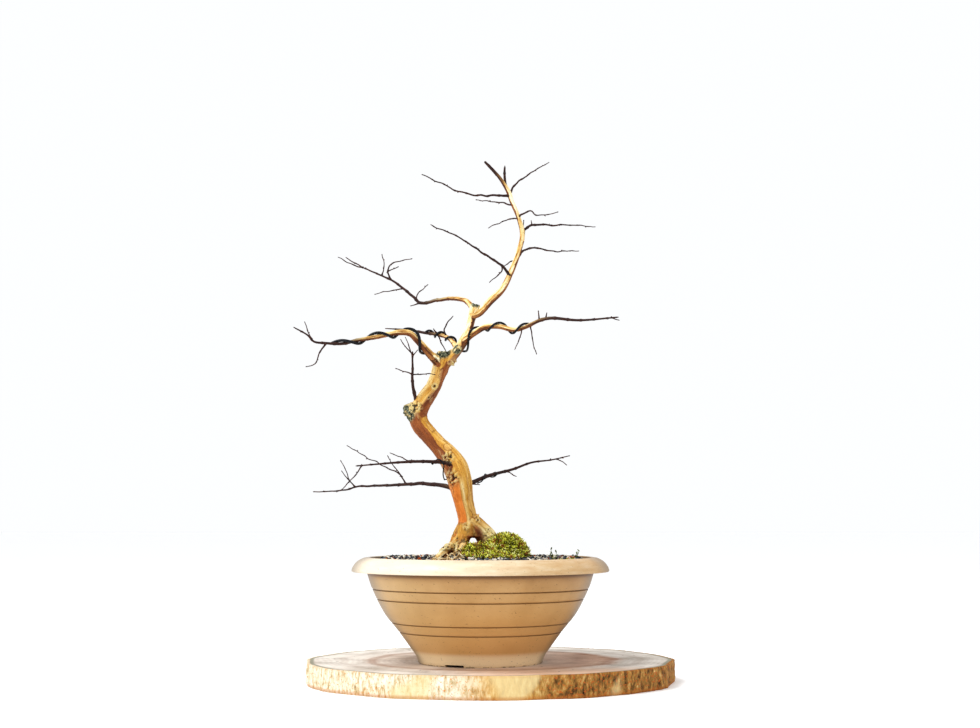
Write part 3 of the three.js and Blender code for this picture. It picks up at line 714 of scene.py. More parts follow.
def grain_of(places, among):
    """For corners in mm: a straightened place on the limb they belong to, and its radius."""
    owner = [(k, i) for k, limb in enumerate(among)
             for i in range(0, len(limb.points), POINT_SKIP)]
    tree = KDTree(len(owner))
    for n, (k, i) in enumerate(owner):
        tree.insert(among[k].points[i], n)
    tree.balance()
    grain = np.empty((len(places), 3))
    girth = np.empty(len(places))
    for n, place in enumerate(places):
        near = [(far / among[owner[found][0]].radii[owner[found][1]], found)
                for _, found, far in tree.find_n(place, POINTS_TRIED)]
        k, i = owner[min(near)[1]]
        limb = among[k]
        off = place - limb.points[i]
        run = limb.run[i] + off @ limb.ways[i]
        grain[n] = off @ limb.sides[i], off @ limb.ups[i], run + LIMB_GAP * k
        girth[n] = limb.radii[i] * limb.age
    return grain, girth


heavy_limbs = [trunk, leader, crown, *roots, elbow_cut, *wired_boughs, *free_boughs]
wood_places = corners(wood) / MM
wood_grain, wood_girth = grain_of(wood_places, heavy_limbs)
print("grain runs along", len(heavy_limbs), "limbs")


# %% [markdown]
# ## Flutes, burrs and cuts
# A small cut that has healed is a raised pale lip round a dark hole. A large one goes to
# rough grey cork. A burr is a cluster of small pale lumps with dark holes between them. All
# are pressed into the wood at their places, and three masks are kept for the finish: pale
# callus, painted shade in the hollows, and grey cork. The painted shade darkens the holes, the
# gaps and the cracks of the low wood. Places are given from the pot's axis and up from its
# rim, as the limbs are.


# %% Measures on the wood
def normals_of(mesh):
    """The way that each corner of a mesh faces."""
    directions = np.empty(len(mesh.vertices) * 3, np.float32)
    mesh.vertex_normals.foreach_get("vector", directions)
    return directions.reshape(-1, 3).astype(float)


def clouds(places, size, offset=0.0):
    """Smooth noise from -1 to 1 at each place."""
    scaled = np.asarray(places) / size + offset
    return np.array([noise.noise(Vector(p)) for p in scaled])


def nearness(place, reach):
    """For each corner of the wood: 0 at this place, and 1 at this reach from it."""
    middle = np.array(place, float) + (0, 0, RIM_TOP)
    return np.linalg.norm(wood_places - middle, axis=1) / reach


wood_out = normals_of(wood)
print("the wood's corners lie up to", round(nearness([0, 0, 0], 1).max()), "mm from the rim")

# %% Flutes, flakes and cracks
long_grain = wood_grain * (1, 1, 0.12)
flutes = 0.55 * clouds(long_grain, 6.5) + 0.22 * clouds(long_grain, 2.6, 9.0)
wrinkles = 0.16 * clouds(wood_grain * (0.35, 0.35, 1), 1.9, 4.0)
weight = smoothstep(wood_girth, 1.5, 8)
sheets = clouds(wood_grain * (1, 1, 0.16), 7.0, 5.0) - 0.1
sheets += 0.4 * clouds(wood_grain * (1, 1, 0.25), 2.4, 8.0)
for flap in (([-52, -3, 142], 9), ([-32, -8, 110], 7)):
    sheets = np.maximum(sheets, 0.45 * (1 - nearness(*flap)))
relief = (flutes + wrinkles) * (0.25 + 0.75 * weight) + 0.4 * smoothstep(sheets, 0.12, 0.2)
low_wood = 1 - smoothstep(wood_places[:, 2] - RIM_TOP, 16, 32)
cracks = clouds(wood_places * (1, 1, 0.7), 3.6, 1.0) + 0.5 * clouds(wood_places, 1.5, 4.0)
relief += 1.3 * low_wood * cracks
print("cracks in", round(100 * (cracks * low_wood < -0.42).mean(), 1), "% of the wood")


# %% Cuts and burrs
callus = np.zeros(len(wood_places))
# Painted shade in the deepest cracks of the low wood; the cuts and burrs below add it in their
# holes and gaps.
hollow_shade = 0.75 * low_wood * (1 - smoothstep(cracks, -0.42, -0.2))
cork = np.zeros(len(wood_places))


def press(share):
    """Adds to the relief of the wood."""
    relief[:] = relief + share


def knot_hole(place, reach, lip, sunk, pale=0.9):
    """A small healed cut: a raised pale lip round a dark hole."""
    away = nearness(place, reach) * (1 + 0.25 * clouds(wood_places, 1.6, 3.0))
    rim = np.exp(-(((away - 0.8) / 0.35) ** 2))
    face = 1 - smoothstep(away, 0.25, 0.55)
    press(lip * rim - sunk * face)
    np.maximum(callus, pale * rim * (1 - face), out=callus)
    np.maximum(hollow_shade, face, out=hollow_shade)


def corky_cut(place, reach, height, darkness):
    """An old cut that has gone to cork: rough, grey-green and black, with cream bits."""
    share = 1 - smoothstep(nearness(place, reach), 0.72, 1.05)
    lumps = clouds(wood_places, 2.4, 2.0) + 0.5 * clouds(wood_places, 1.0, 6.0)
    press(share * height * (0.1 + 1.4 * lumps))
    side = -0.8 * wood_out[:, 0] - 0.2 * wood_out[:, 2]
    grey = smoothstep(clouds(wood_places, 4.0, 11.0) + darkness + 0.5 * side, 0.1, 0.4)
    np.maximum(cork, share * grey, out=cork)
    np.maximum(callus, share * (1 - 0.6 * grey), out=callus)
    np.maximum(hollow_shade, share * (1 - smoothstep(lumps, -0.45, -0.2)), out=hollow_shade)


def burr(place, reach, height):
    """A cluster of small lumps with holes between them."""
    share = 1 - smoothstep(nearness(place, reach), 0.5, 1.1)
    lumps = clouds(wood_places, 2.5, 7.0) + 0.35 * clouds(wood_places, 1.1, 2.0)
    press(share * height * (0.6 + 1.7 * lumps))
    np.maximum(callus, share * smoothstep(lumps, -0.15, 0.3), out=callus)
    np.maximum(hollow_shade, share * (1 - smoothstep(lumps, -0.35, -0.12)), out=hollow_shade)


print("marks are kept for", len(callus), "corners")

# %% The tree's own cuts and burrs
corky_cut([-75, 4, 145], 12.5, 1.1, 0.2)  # the elbow's cut, which faces left
corky_cut([-38, -3, 206], 9.5, 0.8, 0.7)  # on top of the trunk's stub
corky_cut([-24, -5, 207], 5.5, 0.5, 0.5)  # in the fork over it
corky_cut([-5, -10, 253], 5.5, 0.7, 0.8)  # on top of the leader's stub
knot_hole([-46, -2, 170], 3.3, 0.6, 1.1)
knot_hole([-52, 0, 159], 1.8, 0.1, 1.0, 0.3)
for place, reach, height in (
    [[-29, -15, 78], 10, 1.5], [[-32, -12, 99], 8, 1.4], [[-27, -1, 192], 7, 1.8],
    [[-64, 0, 150], 7, 0.8], [[-50, -3, 149], 4, 0.9], [[-36, -8, 12], 10, 1.0],
    [[-24, -12, 9], 9, 1.0], [[-14, -9, 30], 5, 0.6], [[8, -5, 24], 7, 0.6],
    [[-21, -7, 70], 6, 0.7], [[-4, -4, 36], 5, 0.8], [[-44, -5, 199], 6, 0.9],
):
    burr(place, reach, height)
set_corners(wood, (wood_places + wood_out * relief[:, None]) * MM)
note(wood, "grain", wood_grain * MM)
note(wood, "girth", wood_girth)
note(wood, "marks", np.column_stack([callus, hollow_shade, cork]))
note(wood, "sheet", sheets)
print("relief from", round(relief.min(), 2), "to", round(relief.max(), 2), "mm")

# %% [markdown]
# The skin of this tree peels in thin sheets. It is golden, cream on the oldest root, with a
# thin pale band on the low trunk's front. Shade and light are painted into its colour: deep
# orange painted shade where the wood leans over and on the low trunk's side that faces left,
# with a dark line along the shade's edge, painted shade in the arch between the roots, and a
# painted highlight on the upper trunk's left side. These broad tones are reckoned for each
# corner from where it faces and how high it lies.

# %% Broad tones of the bark, with painted shade and highlight
height = wood_places[:, 2] - RIM_TOP
middle_part = smoothstep(height, 84, 96) * (1 - smoothstep(height, 132, 150))
# Painted shade: tilt grows where the wood faces down, more on the middle trunk and less on the top
# stretch.
tilt = 0.12 - wood_out[:, 2] + 0.22 * middle_part
upper_part = smoothstep(height, 150, 162)
tilt += 0.14 * clouds(wood_grain * (1, 1, 0.25), 5.0, 2.0) - 0.24 * upper_part
underside = smoothstep(tilt, 0.05, 0.25)
# On the low trunk the painted shade lies on the side that faces left, and a thin pale band runs on
# the front where that side turns.
leftness = wood_out @ np.array([-0.95, -0.3, 0.0])
stretch_low = smoothstep(height, 28, 40) * (1 - smoothstep(height, 70, 84))
left_side_shade = smoothstep(leftness, 0.2, 0.5) * stretch_low
pale_band = np.exp(-(((leftness - 0.12) / 0.12) ** 2)) * stretch_low * (wood_out[:, 1] < 0)
# This deep orange tone is painted shade, on the undersides and on the low trunk's left side.
shaded_side_tone = np.clip(underside * (1 - stretch_low) * (1 - 0.4 * low_wood) + left_side_shade, 0, 1)
# The right root is cream, its own colour, and so is the thin pale band.
right_root = smoothstep(wood_places[:, 0], -6, 4) * (1 - smoothstep(height, 24, 38))
cream_and_highlight = right_root + 0.8 * pale_band
# A painted highlight on the left side of the upper trunk.
cream_and_highlight = np.clip(cream_and_highlight + 0.7 * upper_part * smoothstep(leftness, 0.45, 0.95), 0, 1)
# Painted shade in the arch between the roots.
arch = 1 - smoothstep(nearness([-6, -7, 20], 13), 0.5, 1.05)
shade_tone = arch * smoothstep(-wood_out[:, 2], -0.6, 0.3)
note(wood, "tones", np.column_stack([shaded_side_tone, cream_and_highlight, shade_tone]))
print("red", round(shaded_side_tone.mean(), 2), "pale", round(cream_and_highlight.mean(), 2))

# %% [markdown]
# ## Twigs
# A twig in winter is a chain of short stretches, a little thicker where each leaf was, with a
# pointed bud over the scar. Thick boughs are smooth. The buds are one small shape, made once
# and copied, because there are some hundreds of them. Grit and moss need thousands of copies,
# and joining those one after another is slow, so `scattered` moves the corners of all copies
# at once and keeps the faces that the operators made.


# %% Copies of small shapes
def scattered(name, shapes, placings):
    """One mesh of many copies, and the number of the copy that each corner belongs to.

    A placing is the number of a shape, and the matrix of its place. The shapes are removed.
    """
    kinds = []
    for shape in shapes:
        starts = np.array([p.loop_start for p in shape.polygons])
        totals = np.array([p.loop_total for p in shape.polygons])
        turns = np.array([loop.vertex_index for loop in shape.loops])
        kinds.append((corners(shape), starts, totals, turns))
    places, starts, totals, turns, owners = [], [], [], [], []
    corner_count = loop_count = 0
    for number, (which, matrix) in enumerate(placings):
        co, start, total, turn = kinds[which]
        m = np.array(matrix)
        places.append(co @ m[:3, :3].T + m[:3, 3])
        starts.append(start + loop_count)
        totals.append(total)
        turns.append(turn + corner_count)
        owners.append(np.full(len(co), number))
        corner_count += len(co)
        loop_count += len(turn)
    mesh = bpy.data.meshes.new(name)
    mesh.vertices.add(corner_count)
    mesh.loops.add(loop_count)
    mesh.polygons.add(sum(len(s) for s in starts))
    mesh.polygons.foreach_set("loop_start", np.concatenate(starts))
    mesh.loops.foreach_set("vertex_index", np.concatenate(turns))
    set_corners(mesh, np.concatenate(places))
    mesh.validate()
    for shape in shapes:
        bpy.data.meshes.remove(shape)
    return mesh, np.concatenate(owners)


# %% The shape of a bud
def bud_shape():
    """A pointed bud, about 2 units tall, with its foot near the origin."""
    shape = bmesh.new()
    bmesh.ops.create_uvsphere(shape, u_segments=6, v_segments=4, radius=1)
    for corner in shape.verts:
        up = corner.co.z
        narrow = 1 - 0.45 * max(up, 0)
        corner.co.x *= 0.55 * narrow
        corner.co.y *= 0.5 * narrow
        corner.co.z = up + 0.9
    return mesh_from(shape, "bud")


bud = bud_shape()
print("a bud has", len(bud.polygons), "faces")

# %% Nodes and bends
NODE_GAP = 13.0  # mm from one leaf to the next
LEAF_TURN = 137.5  # degrees from one leaf to the next, as in most plants
rng = random.Random(7)


def noded(limb, stretch, start=0.0, flare=0.0):
    """The limb's radius with a swelling at every node, and ripples of old bark."""
    def radius(run):
        beat = ((run - start) / stretch) % 1
        swell = 0.3 * math.exp(-((min(beat, 1 - beat) * stretch / 1.1) ** 2))
        slim = 1 - float(smoothstep(limb.radius(run), 1.2, 2.6))
        ripple = 0.05 * noise.noise(Vector((run / 2.2, stretch, start)))
        base = 1 + flare * math.exp(-run / 2.5)
        return limb.radius(run) * base * (1 + swell * slim + ripple)
    return radius


def wandering(limb, amount):
    """Bends the limb's line a little at every node, by up to this many mm."""
    bend = rng.uniform(0, 100)
    fade = smoothstep(limb.run, 0, 6)
    for axes in (limb.sides, limb.ups):
        kinks = [noise.noise(Vector((run / 9, bend, 0))) for run in limb.run]
        limb.points = limb.points + axes * (np.array(kinks) * fade * amount)[:, None]
        bend += 31
    limb.find_frames()


print("a leaf grows about every", NODE_GAP, "mm")

# %% The tubes of the boughs and twigs
twig_meshes, twig_grain, twig_girth, bud_places = [], [], [], []
for number, limb in enumerate([*wired_boughs, *free_boughs, crown_stub, *twigs]):
    slim = limb in twigs
    if limb not in wired_boughs:
        wandering(limb, 1.3 if slim else 0.7)
    stretch = NODE_GAP * rng.uniform(0.8, 1.15)
    start = 0.0 if slim or limb is crown_stub else 9.0
    grown = noded(limb, stretch, flare=0.5 if slim else 0.0)
    sides = 14 if limb.radius(0) > 2 else 8
    mesh = tube(limb, grown, sides, 1.2 if slim else 1.0, start, round_end=1.2)
    places = corners(mesh) / MM
    along = np.array([np.argmin(((limb.points - p) ** 2).sum(1)) for p in places])
    off = places - limb.points[along]
    twig_grain.append(np.column_stack([
        (off * limb.sides[along]).sum(1), (off * limb.ups[along]).sum(1),
        limb.run[along] + LIMB_GAP * number,
    ]))
    twig_girth.append(limb.radii[along] * limb.age)
    twig_meshes.append(mesh)
    nodes = np.arange(stretch if not slim else 0.7 * stretch, limb.length - 2, stretch)
    for n, run in enumerate([*nodes, limb.length]):
        size = min(limb.radius(run), 1.1)
        if size > 1.0 and rng.random() < 0.5:
            continue
        bud_places.append((limb, run, LEAF_TURN * n + 40 * number, run == limb.length))
print(len(bud_places), "buds on", len(twig_meshes), "twigs")


# %% The buds
def bud_matrix(limb, run, turn, at_tip):
    way = Vector(limb.at(run, limb.ways)).normalized()
    side = Vector(limb.at(run, limb.sides)).normalized()
    out = Matrix.Rotation(math.radians(turn), 3, way) @ side
    lean = way if at_tip else (0.75 * way + 0.65 * out).normalized()
    reach = 0.0 if at_tip else 0.75 * limb.radius(run)
    foot = (Vector(limb.at(run)) + out * reach) * MM
    size = MM * (0.75 + 0.35 * rng.random()) * (1.15 if at_tip else 0.95)
    turned = lean.to_track_quat("Z", "Y").to_matrix().to_4x4()
    return Matrix.Translation(foot) @ turned @ Matrix.Scale(size, 4)


bud_mesh, _ = scattered("buds", [bud], [(0, bud_matrix(*place)) for place in bud_places])
bud_corners = corners(bud_mesh)
twig_mesh = joined([*twig_meshes, bud_mesh], "twigs")
note(twig_mesh, "grain", np.vstack([*twig_grain, bud_corners / MM]) * MM)
note(twig_mesh, "girth", np.r_[np.concatenate(twig_girth), np.full(len(bud_corners), 0.3)])
# Painted shade on the undersides of the boughs and twigs.
twig_shade = smoothstep(-normals_of(twig_mesh)[:, 2], -0.15, 0.45)
note(twig_mesh, "tones", np.column_stack([twig_shade, 0 * twig_shade, 0 * twig_shade]))
print("twigs have", len(twig_mesh.vertices), "corners")

# %% [markdown]
# ## Bark
# The finish of all the wood is one network, so that a bough has the same bark on both sides
# of its collar. From the girth it goes from dark twig to orange trunk. Over that lie streaks
# along the grain, pale thin sheets that peel with a dark edge, the broad tones with their
# painted shade and highlight, and the marks, whose dark hollows are painted shade.
# The grain is an attribute, and not a UV map, because the wood has no seams to unroll it at.


# %% Bark of the trunk and roots
def old_bark(bark, streaks, red, pale):
    """Golden on top, painted shade in orange below, cream on the oldest root, a painted highlight
    in cream, and peeling in sheets.
    """
    golden = bark.ramp(streaks, (0.25, "96601E"), (0.42, "BC842E"), (0.58, "D6A448"),
                       (0.78, "EECE86"))
    deep = bark.ramp(streaks, (0.25, "62300F"), (0.5, "8E4E20"), (0.75, "B4743C"))
    bright = bark.ramp(streaks, (0.25, "B8601E"), (0.5, "DE8432"), (0.75, "F2A65C"))
    cream = bark.ramp(streaks, (0.3, "C89C48"), (0.42, "E8CE84"), (0.56, "F6EAB8"),
                      (0.7, "FCF8DE"))
    up = bark.axes(bark.place)[2]
    low = 1 - bark.between(up, (RIM_TOP + 66) * MM, (RIM_TOP + 88) * MM)
    # A dark line along the edge of the painted shade.
    shade_border = bark.between(red, 0.12, 0.35) * (1 - bark.between(red, 0.45, 0.7))
    return bark.coats(
        golden,
        # red is painted shade: deep orange, and bright orange on the low trunk.
        (bark.between(red, 0.25, 0.6), bark.mix(low, deep, bright)),
        (shade_border * 0.35, "6A3010"),
        # pale is the cream root and pale band, with a painted highlight on the upper trunk.
        (pale * 0.85, cream),
    )


# %% Bark of the boughs and twigs
def young_bark(bark, streaks, fine, red, girth):
    """Dark on a thin twig, and on a bough cream above as painted highlight and brown below as
    painted shade.
    """
    twig = bark.ramp(fine, (0.3, "180B0A"), (0.55, "361A13"), (0.8, "663C28"))
    upper = bark.ramp(streaks, (0.36, "7E4E22"), (0.43, "CFA056"), (0.52, "ECCE8E"),
                      (0.64, "FCF4D4"))
    lower = bark.ramp(streaks, (0.38, "3E1E0C"), (0.5, "7C4620"), (0.68, "B07A42"))
    # red is painted shade, so the bough is brown below and cream above.
    bough = bark.mix(bark.between(red, 0.2, 0.6), upper, lower)
    return bark.mix(bark.between(girth, 1.5, 2.3), twig, bough)


# %% The bark's finish
def bark_finish():
    bark = Finish("bark", roughness=0.55, specular_ior_level=0.35)
    grain = bark.attribute("grain")
    girth = bark.attribute("girth", "Fac")
    sheet = bark.attribute("sheet", "Fac")
    # red is painted shade and pale partly a painted highlight; shade is painted shade in the arch.
    red, pale, shade = bark.axes(bark.attribute("tones"))
    callus_mark, hollow_shade_mark, cork_mark = bark.axes(bark.attribute("marks"))
    streaks = bark.noise(bark.stretched(grain, (1, 1, 0.16)), 0.0035, 5, 0.6)
    fine = bark.noise(bark.stretched(grain, (1, 1, 0.3)), 0.0011, 4, 0.6)
    specks = bark.noise(bark.place, 0.0014, 3, 0.6)
    callus_colour = bark.ramp(specks, (0.3, "9A8442"), (0.5, "D9C98A"), (0.7, "F1E8C0"))
    cork_colour = bark.ramp(specks, (0.35, "14160F"), (0.5, "4C5040"), (0.62, "8E8F74"),
                            (0.75, "CFC9A4"))
    peeling = bark.between(sheet, 0.13, 0.2)
    edge = bark.between(sheet, 0.07, 0.12) * (1 - peeling)
    skin = bark.coats(
        old_bark(bark, streaks, red, pale),
        (peeling * 0.192, "F0D49A"),
        (edge * 0.45, "5E2A0E"),
    )
    skin = bark.coats(
        bark.mix(bark.between(girth, 4.3, 6.0), young_bark(bark, streaks, fine, red, girth), skin),
        (bark.between(specks, 0.6, 0.68) * bark.between(girth, 1.5, 2.3) * 0.55, "5E2E12"),
        (shade * 0.9, "5E220A"),
        (callus_mark * 0.75, callus_colour),
        (cork_mark, cork_colour),
        # Painted shade in the hollows, holes and cracks.
        (hollow_shade_mark * 0.95, "140A06"),
    )
    normal = bark.bumps(streaks * 0.6 + fine * 0.4 + peeling * 0.35, 0.0006, 0.6)
    return bark.paint(base_color=skin, roughness=0.5 + 0.25 * fine + 0.2 * cork_mark, normal=normal)


bark_skin = bark_finish()
keep("bonsai_wood", wood, [bark_skin], ["bonsai_tree"])
keep("bonsai_twigs", twig_mesh, [bark_skin])

# %% [markdown]
# ## The pot
# The bowl is moulded plastic: one wall of even thickness, a rolled rim, and a foot ring with
# low notches that let water out. A potter's wheel is the natural way to make it here too: half
# of its outline is spun round the axis. Sharp edges get a small round in the outline itself,
# and the notches and drain holes are cut afterwards.

# %% Sizes of the bowl, in mm
SLICE_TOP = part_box("log_slice")[1].z / MM
POT_FOOT = 8.6
POT_WALL = 2.6
FOOT_RADIUS = 61.0
WAIST_RADIUS = 64.4
MOUTH_RADIUS = 112.0
RIM_RADIUS = 127.6
RIM_DEPTH = 14.0
RIM_WALL = 2.4
GROOVES = (30.6, 39.8, 62.7, 72.6)
GROOVE_DEPTH = 0.9
WALL_STEPS = 60
RING_INSIDE = FOOT_RADIUS - 5
FLOOR_UNDER = SLICE_TOP + POT_FOOT
FLOOR_TOP = FLOOR_UNDER + POT_WALL
print("bowl is", round(RIM_TOP - SLICE_TOP, 1), "mm high and", 2 * RIM_RADIUS, "mm across")


# %% The bowl's wall
def wall_line():
    """The bowl's outer line from its waist to its mouth, as (radius, height)."""
    rise = RIM_TOP - SLICE_TOP - RIM_DEPTH - RIM_WALL - POT_FOOT
    flare = MOUTH_RADIUS - WAIST_RADIUS
    knots = [(0, 0), (0, 0), (0.35, 0.29), (0.65, 0.52), (0.9, 0.82), (1, 1), (1, 1)]
    knots = np.array(knots) * (flare, rise) + (WAIST_RADIUS, SLICE_TOP + POT_FOOT)
    line = []
    for i in range(WALL_STEPS + 1):
        place = i / WALL_STEPS * 4
        k = min(int(place), 3)
        t = place - k
        a, b, c, d = knots[k : k + 4]
        out, back = (c - a) / 2, (d - b) / 2
        line.append((2 * b - 2 * c + out + back) * t**3 + (-3 * b + 3 * c - 2 * out - back)
                    * t**2 + out * t + b)
    return np.array(line)


def inner_line(outer):
    """The wall's inner line, one wall's thickness inside the outer one, from the top down."""
    ways = np.gradient(outer, axis=0)
    ways /= np.linalg.norm(ways, axis=1)[:, None]
    inward = np.column_stack([-ways[:, 1], ways[:, 0]])
    return (outer + inward * POT_WALL)[::-1]


def grooved_line(outer):
    """The outer line with its round grooves."""
    grooved = []
    heights = np.linspace(outer[0, 1], outer[-1, 1], 40)
    heights = sorted({*heights, *(SLICE_TOP + g + o for g in GROOVES
                                  for o in (-0.7, -0.4, -0.15, 0.15, 0.4, 0.7))})
    for z in heights:
        near = min(abs(z - SLICE_TOP - g) for g in GROOVES)
        depth = GROOVE_DEPTH * float(1 - smoothstep(near, 0.15, 0.65))
        grooved.append((float(np.interp(z, outer[:, 1], outer[:, 0])) - depth, z))
    return grooved


print("the wall rises", round(float(np.ptp(wall_line()[:, 1])), 1), "mm")


# %% The pot's outline
def rim_line(inner_radius):
    """The rolled rim: up under it, round its lip, over its top and down inside."""
    width = RIM_RADIUS - MOUTH_RADIUS
    lip = RIM_TOP - RIM_DEPTH
    return [
        (MOUTH_RADIUS, RIM_TOP - 3.6), (MOUTH_RADIUS + 0.25, RIM_TOP - 3.0),
        (MOUTH_RADIUS + 0.25 * width, RIM_TOP - 3.3),
        (MOUTH_RADIUS + 0.6 * width, RIM_TOP - 6), (RIM_RADIUS - 3.6, RIM_TOP - 8),
        (RIM_RADIUS - RIM_WALL, RIM_TOP - 10), (RIM_RADIUS - RIM_WALL, lip + 0.4),
        (RIM_RADIUS - 0.7 * RIM_WALL, lip), (RIM_RADIUS - 0.3 * RIM_WALL, lip),
        (RIM_RADIUS, lip + 0.6), (RIM_RADIUS, lip + 2), (RIM_RADIUS - 0.8, RIM_TOP - 9.6),
        (RIM_RADIUS - 2.4, RIM_TOP - 7.2), (RIM_RADIUS - 4.2, RIM_TOP - 5),
        (MOUTH_RADIUS + 0.6 * width, RIM_TOP - 3.3),
        (MOUTH_RADIUS + 0.42 * width, RIM_TOP - 1.7),
        (MOUTH_RADIUS + 0.25 * width, RIM_TOP - 0.6), (MOUTH_RADIUS, RIM_TOP),
        (inner_radius + 1.1, RIM_TOP - 0.05), (inner_radius + 0.3, RIM_TOP - 0.4),
        (inner_radius, RIM_TOP - 1.2),
    ]


def pot_outline():
    """Half of the pot's outline, from the axis under its floor to the axis over it."""
    outer = wall_line()
    inner = inner_line(outer)
    foot = [
        (0, FLOOR_UNDER), (RING_INSIDE - 0.6, FLOOR_UNDER), (RING_INSIDE, FLOOR_UNDER - 0.6),
        (RING_INSIDE, SLICE_TOP + 0.4), (RING_INSIDE + 0.4, SLICE_TOP),
        (FOOT_RADIUS - 0.5, SLICE_TOP), (FOOT_RADIUS, SLICE_TOP + 0.5),
        (FOOT_RADIUS + 1.3, SLICE_TOP + 4), (WAIST_RADIUS - 1, FLOOR_UNDER - 1.8),
        (WAIST_RADIUS - 0.5, FLOOR_UNDER - 0.9),
    ]
    inside = [(r, z) for r, z in inner[::2] if z > FLOOR_TOP + POT_WALL]
    floor_edge = inside[-1][0]
    inside += [(floor_edge - 0.6, FLOOR_TOP + 0.9), (floor_edge - POT_WALL, FLOOR_TOP)]
    return [*foot, *grooved_line(outer), *rim_line(inner[0, 0]), *inside,
            (floor_edge / 2, FLOOR_TOP), (0, FLOOR_TOP)]


print("the outline has", len(pot_outline()), "points")


# %% The pot is spun and cut
POT_SIDES = 160
NOTCH_ANGLE = math.radians(-114)
NOTCH_SIZE = (15, 19.5, 4.4)
DRAIN_PLACE = 32  # mm from the axis
DRAIN_RADIUS = 9


def spun(outline):
    """The outline spun all the way round the axis, as a closed shape."""
    shape = bmesh.new()
    ring = [shape.verts.new((r * MM, 0, z * MM)) for r, z in outline]
    edges = [shape.edges.new(pair) for pair in zip(ring, ring[1:])]
    bmesh.ops.spin(shape, geom=[*ring, *edges], cent=(0, 0, 0), axis=(0, 0, 1),
                   angle=2 * math.pi, steps=POT_SIDES, use_merge=True)
    bmesh.ops.remove_doubles(shape, verts=shape.verts, dist=1e-6)
    bmesh.ops.recalc_face_normals(shape, faces=shape.faces)
    return shape


cuts = bmesh.new()
for i in range(3):
    turn = Matrix.Rotation(NOTCH_ANGLE + 2 * math.pi * i / 3, 4, "Z")
    notch = turn @ Matrix.Translation((FOOT_RADIUS * MM, 0, SLICE_TOP * MM))
    notch = notch @ Matrix.Diagonal((*(side * MM for side in NOTCH_SIZE), 1))
    bmesh.ops.create_cube(cuts, size=1, matrix=notch)
    drain = turn @ Matrix.Translation((DRAIN_PLACE * MM, 0, FLOOR_UNDER * MM))
    bmesh.ops.create_cone(cuts, cap_ends=True, segments=32, radius1=DRAIN_RADIUS * MM,
                          radius2=DRAIN_RADIUS * MM, depth=10 * MM, matrix=drain)
cut_object = bpy.data.objects.new("pot_cuts", mesh_from(cuts, "pot_cuts"))
bpy.context.scene.collection.objects.link(cut_object)
pot_mesh = with_modifiers(
    mesh_from(spun(pot_outline()), "pot_blank"),
    ("BOOLEAN", {"operation": "DIFFERENCE", "solver": "EXACT", "object": cut_object}),
)
bpy.data.objects.remove(cut_object)
print("pot is", round(2 * np.abs(corners(pot_mesh)).max(0)[0] / MM, 1), "mm across")

# %% [markdown]
# The plastic is satin and slightly cloudy. Its rim is paler than its body, and so are its lower
# body and foot. Light and shade are painted into its colour: a painted highlight on its left
# side and on the left of its rim, painted shade on the right of its rim, at the bowl's left and
# right edges and in its grooves, and a painted shadow under the rim, with a dark line just
# beneath it. Specks of soil lie near the slice, small scuffs anywhere, and faint circles are
# left from the mould. Inside it is stained brown by the soil. A map painted by hand would do
# too, but bands by height and side follow a round pot without one.


# %% The pot's colours
def rim_colours(plastic, x):
    """The rubbed rim, with a painted highlight at the left and painted shade at the right."""
    rubbed = plastic.noise(plastic.stretched(plastic.place, (1, 1, 6)), 0.02, 4, 0.6)
    return plastic.coats(
        plastic.ramp(rubbed, (0.3, "C8A67C"), (0.5, "D5BC94"), (0.7, "E3D1B2")),
        # Painted highlight on the rim's left.
        ((1 - plastic.between(x, -0.09, 0.08)) * 0.7, "F4EBDA"),
        # Painted shade on the rim's right.
        (plastic.between(x, 0.02, 0.11) * 0.55, "BE935C"),
    )


def body_colours(plastic, cloud, above):
    """The wall of the bowl. `above` is 0 under one height in mm and 1 over another."""
    x, y, z = plastic.axes(plastic.place)
    lip = RIM_TOP - RIM_DEPTH
    rim = above(lip - 0.3, lip)
    edge_shade = plastic.between((x * x) * ((x * x + y * y) ** -1), 0.72, 1.0)
    return plastic.coats(
        plastic.ramp(cloud, (0.3, "AC8450"), (0.55, "B8905C"), (0.8, "C29C6A")),
        # Paler low on the body, and paler still at the foot.
        ((1 - above(SLICE_TOP + 12, SLICE_TOP + 80)) * 0.6, "DEB074"),
        # Painted highlight on the bowl's left side.
        ((1 - plastic.between(x, -0.10, -0.02)) * 0.35, "E4C896"),
        ((1 - above(SLICE_TOP + 9, SLICE_TOP + 15)) * 0.9, "F4DEB8"),
        (rim * 0.9, rim_colours(plastic, x)),
        # Painted shade at the bowl's left and right edges.
        (edge_shade * 0.65, "6C5A48"),
        # Painted shadow under the rim.
        (above(lip - 9, lip) * (1 - rim) * 0.7, "8A6030"),
        # A dark painted shadow line just beneath the rim.
        (above(lip - 5, lip - 1) * (1 - rim) * 0.7, "4E2E12"),
    )


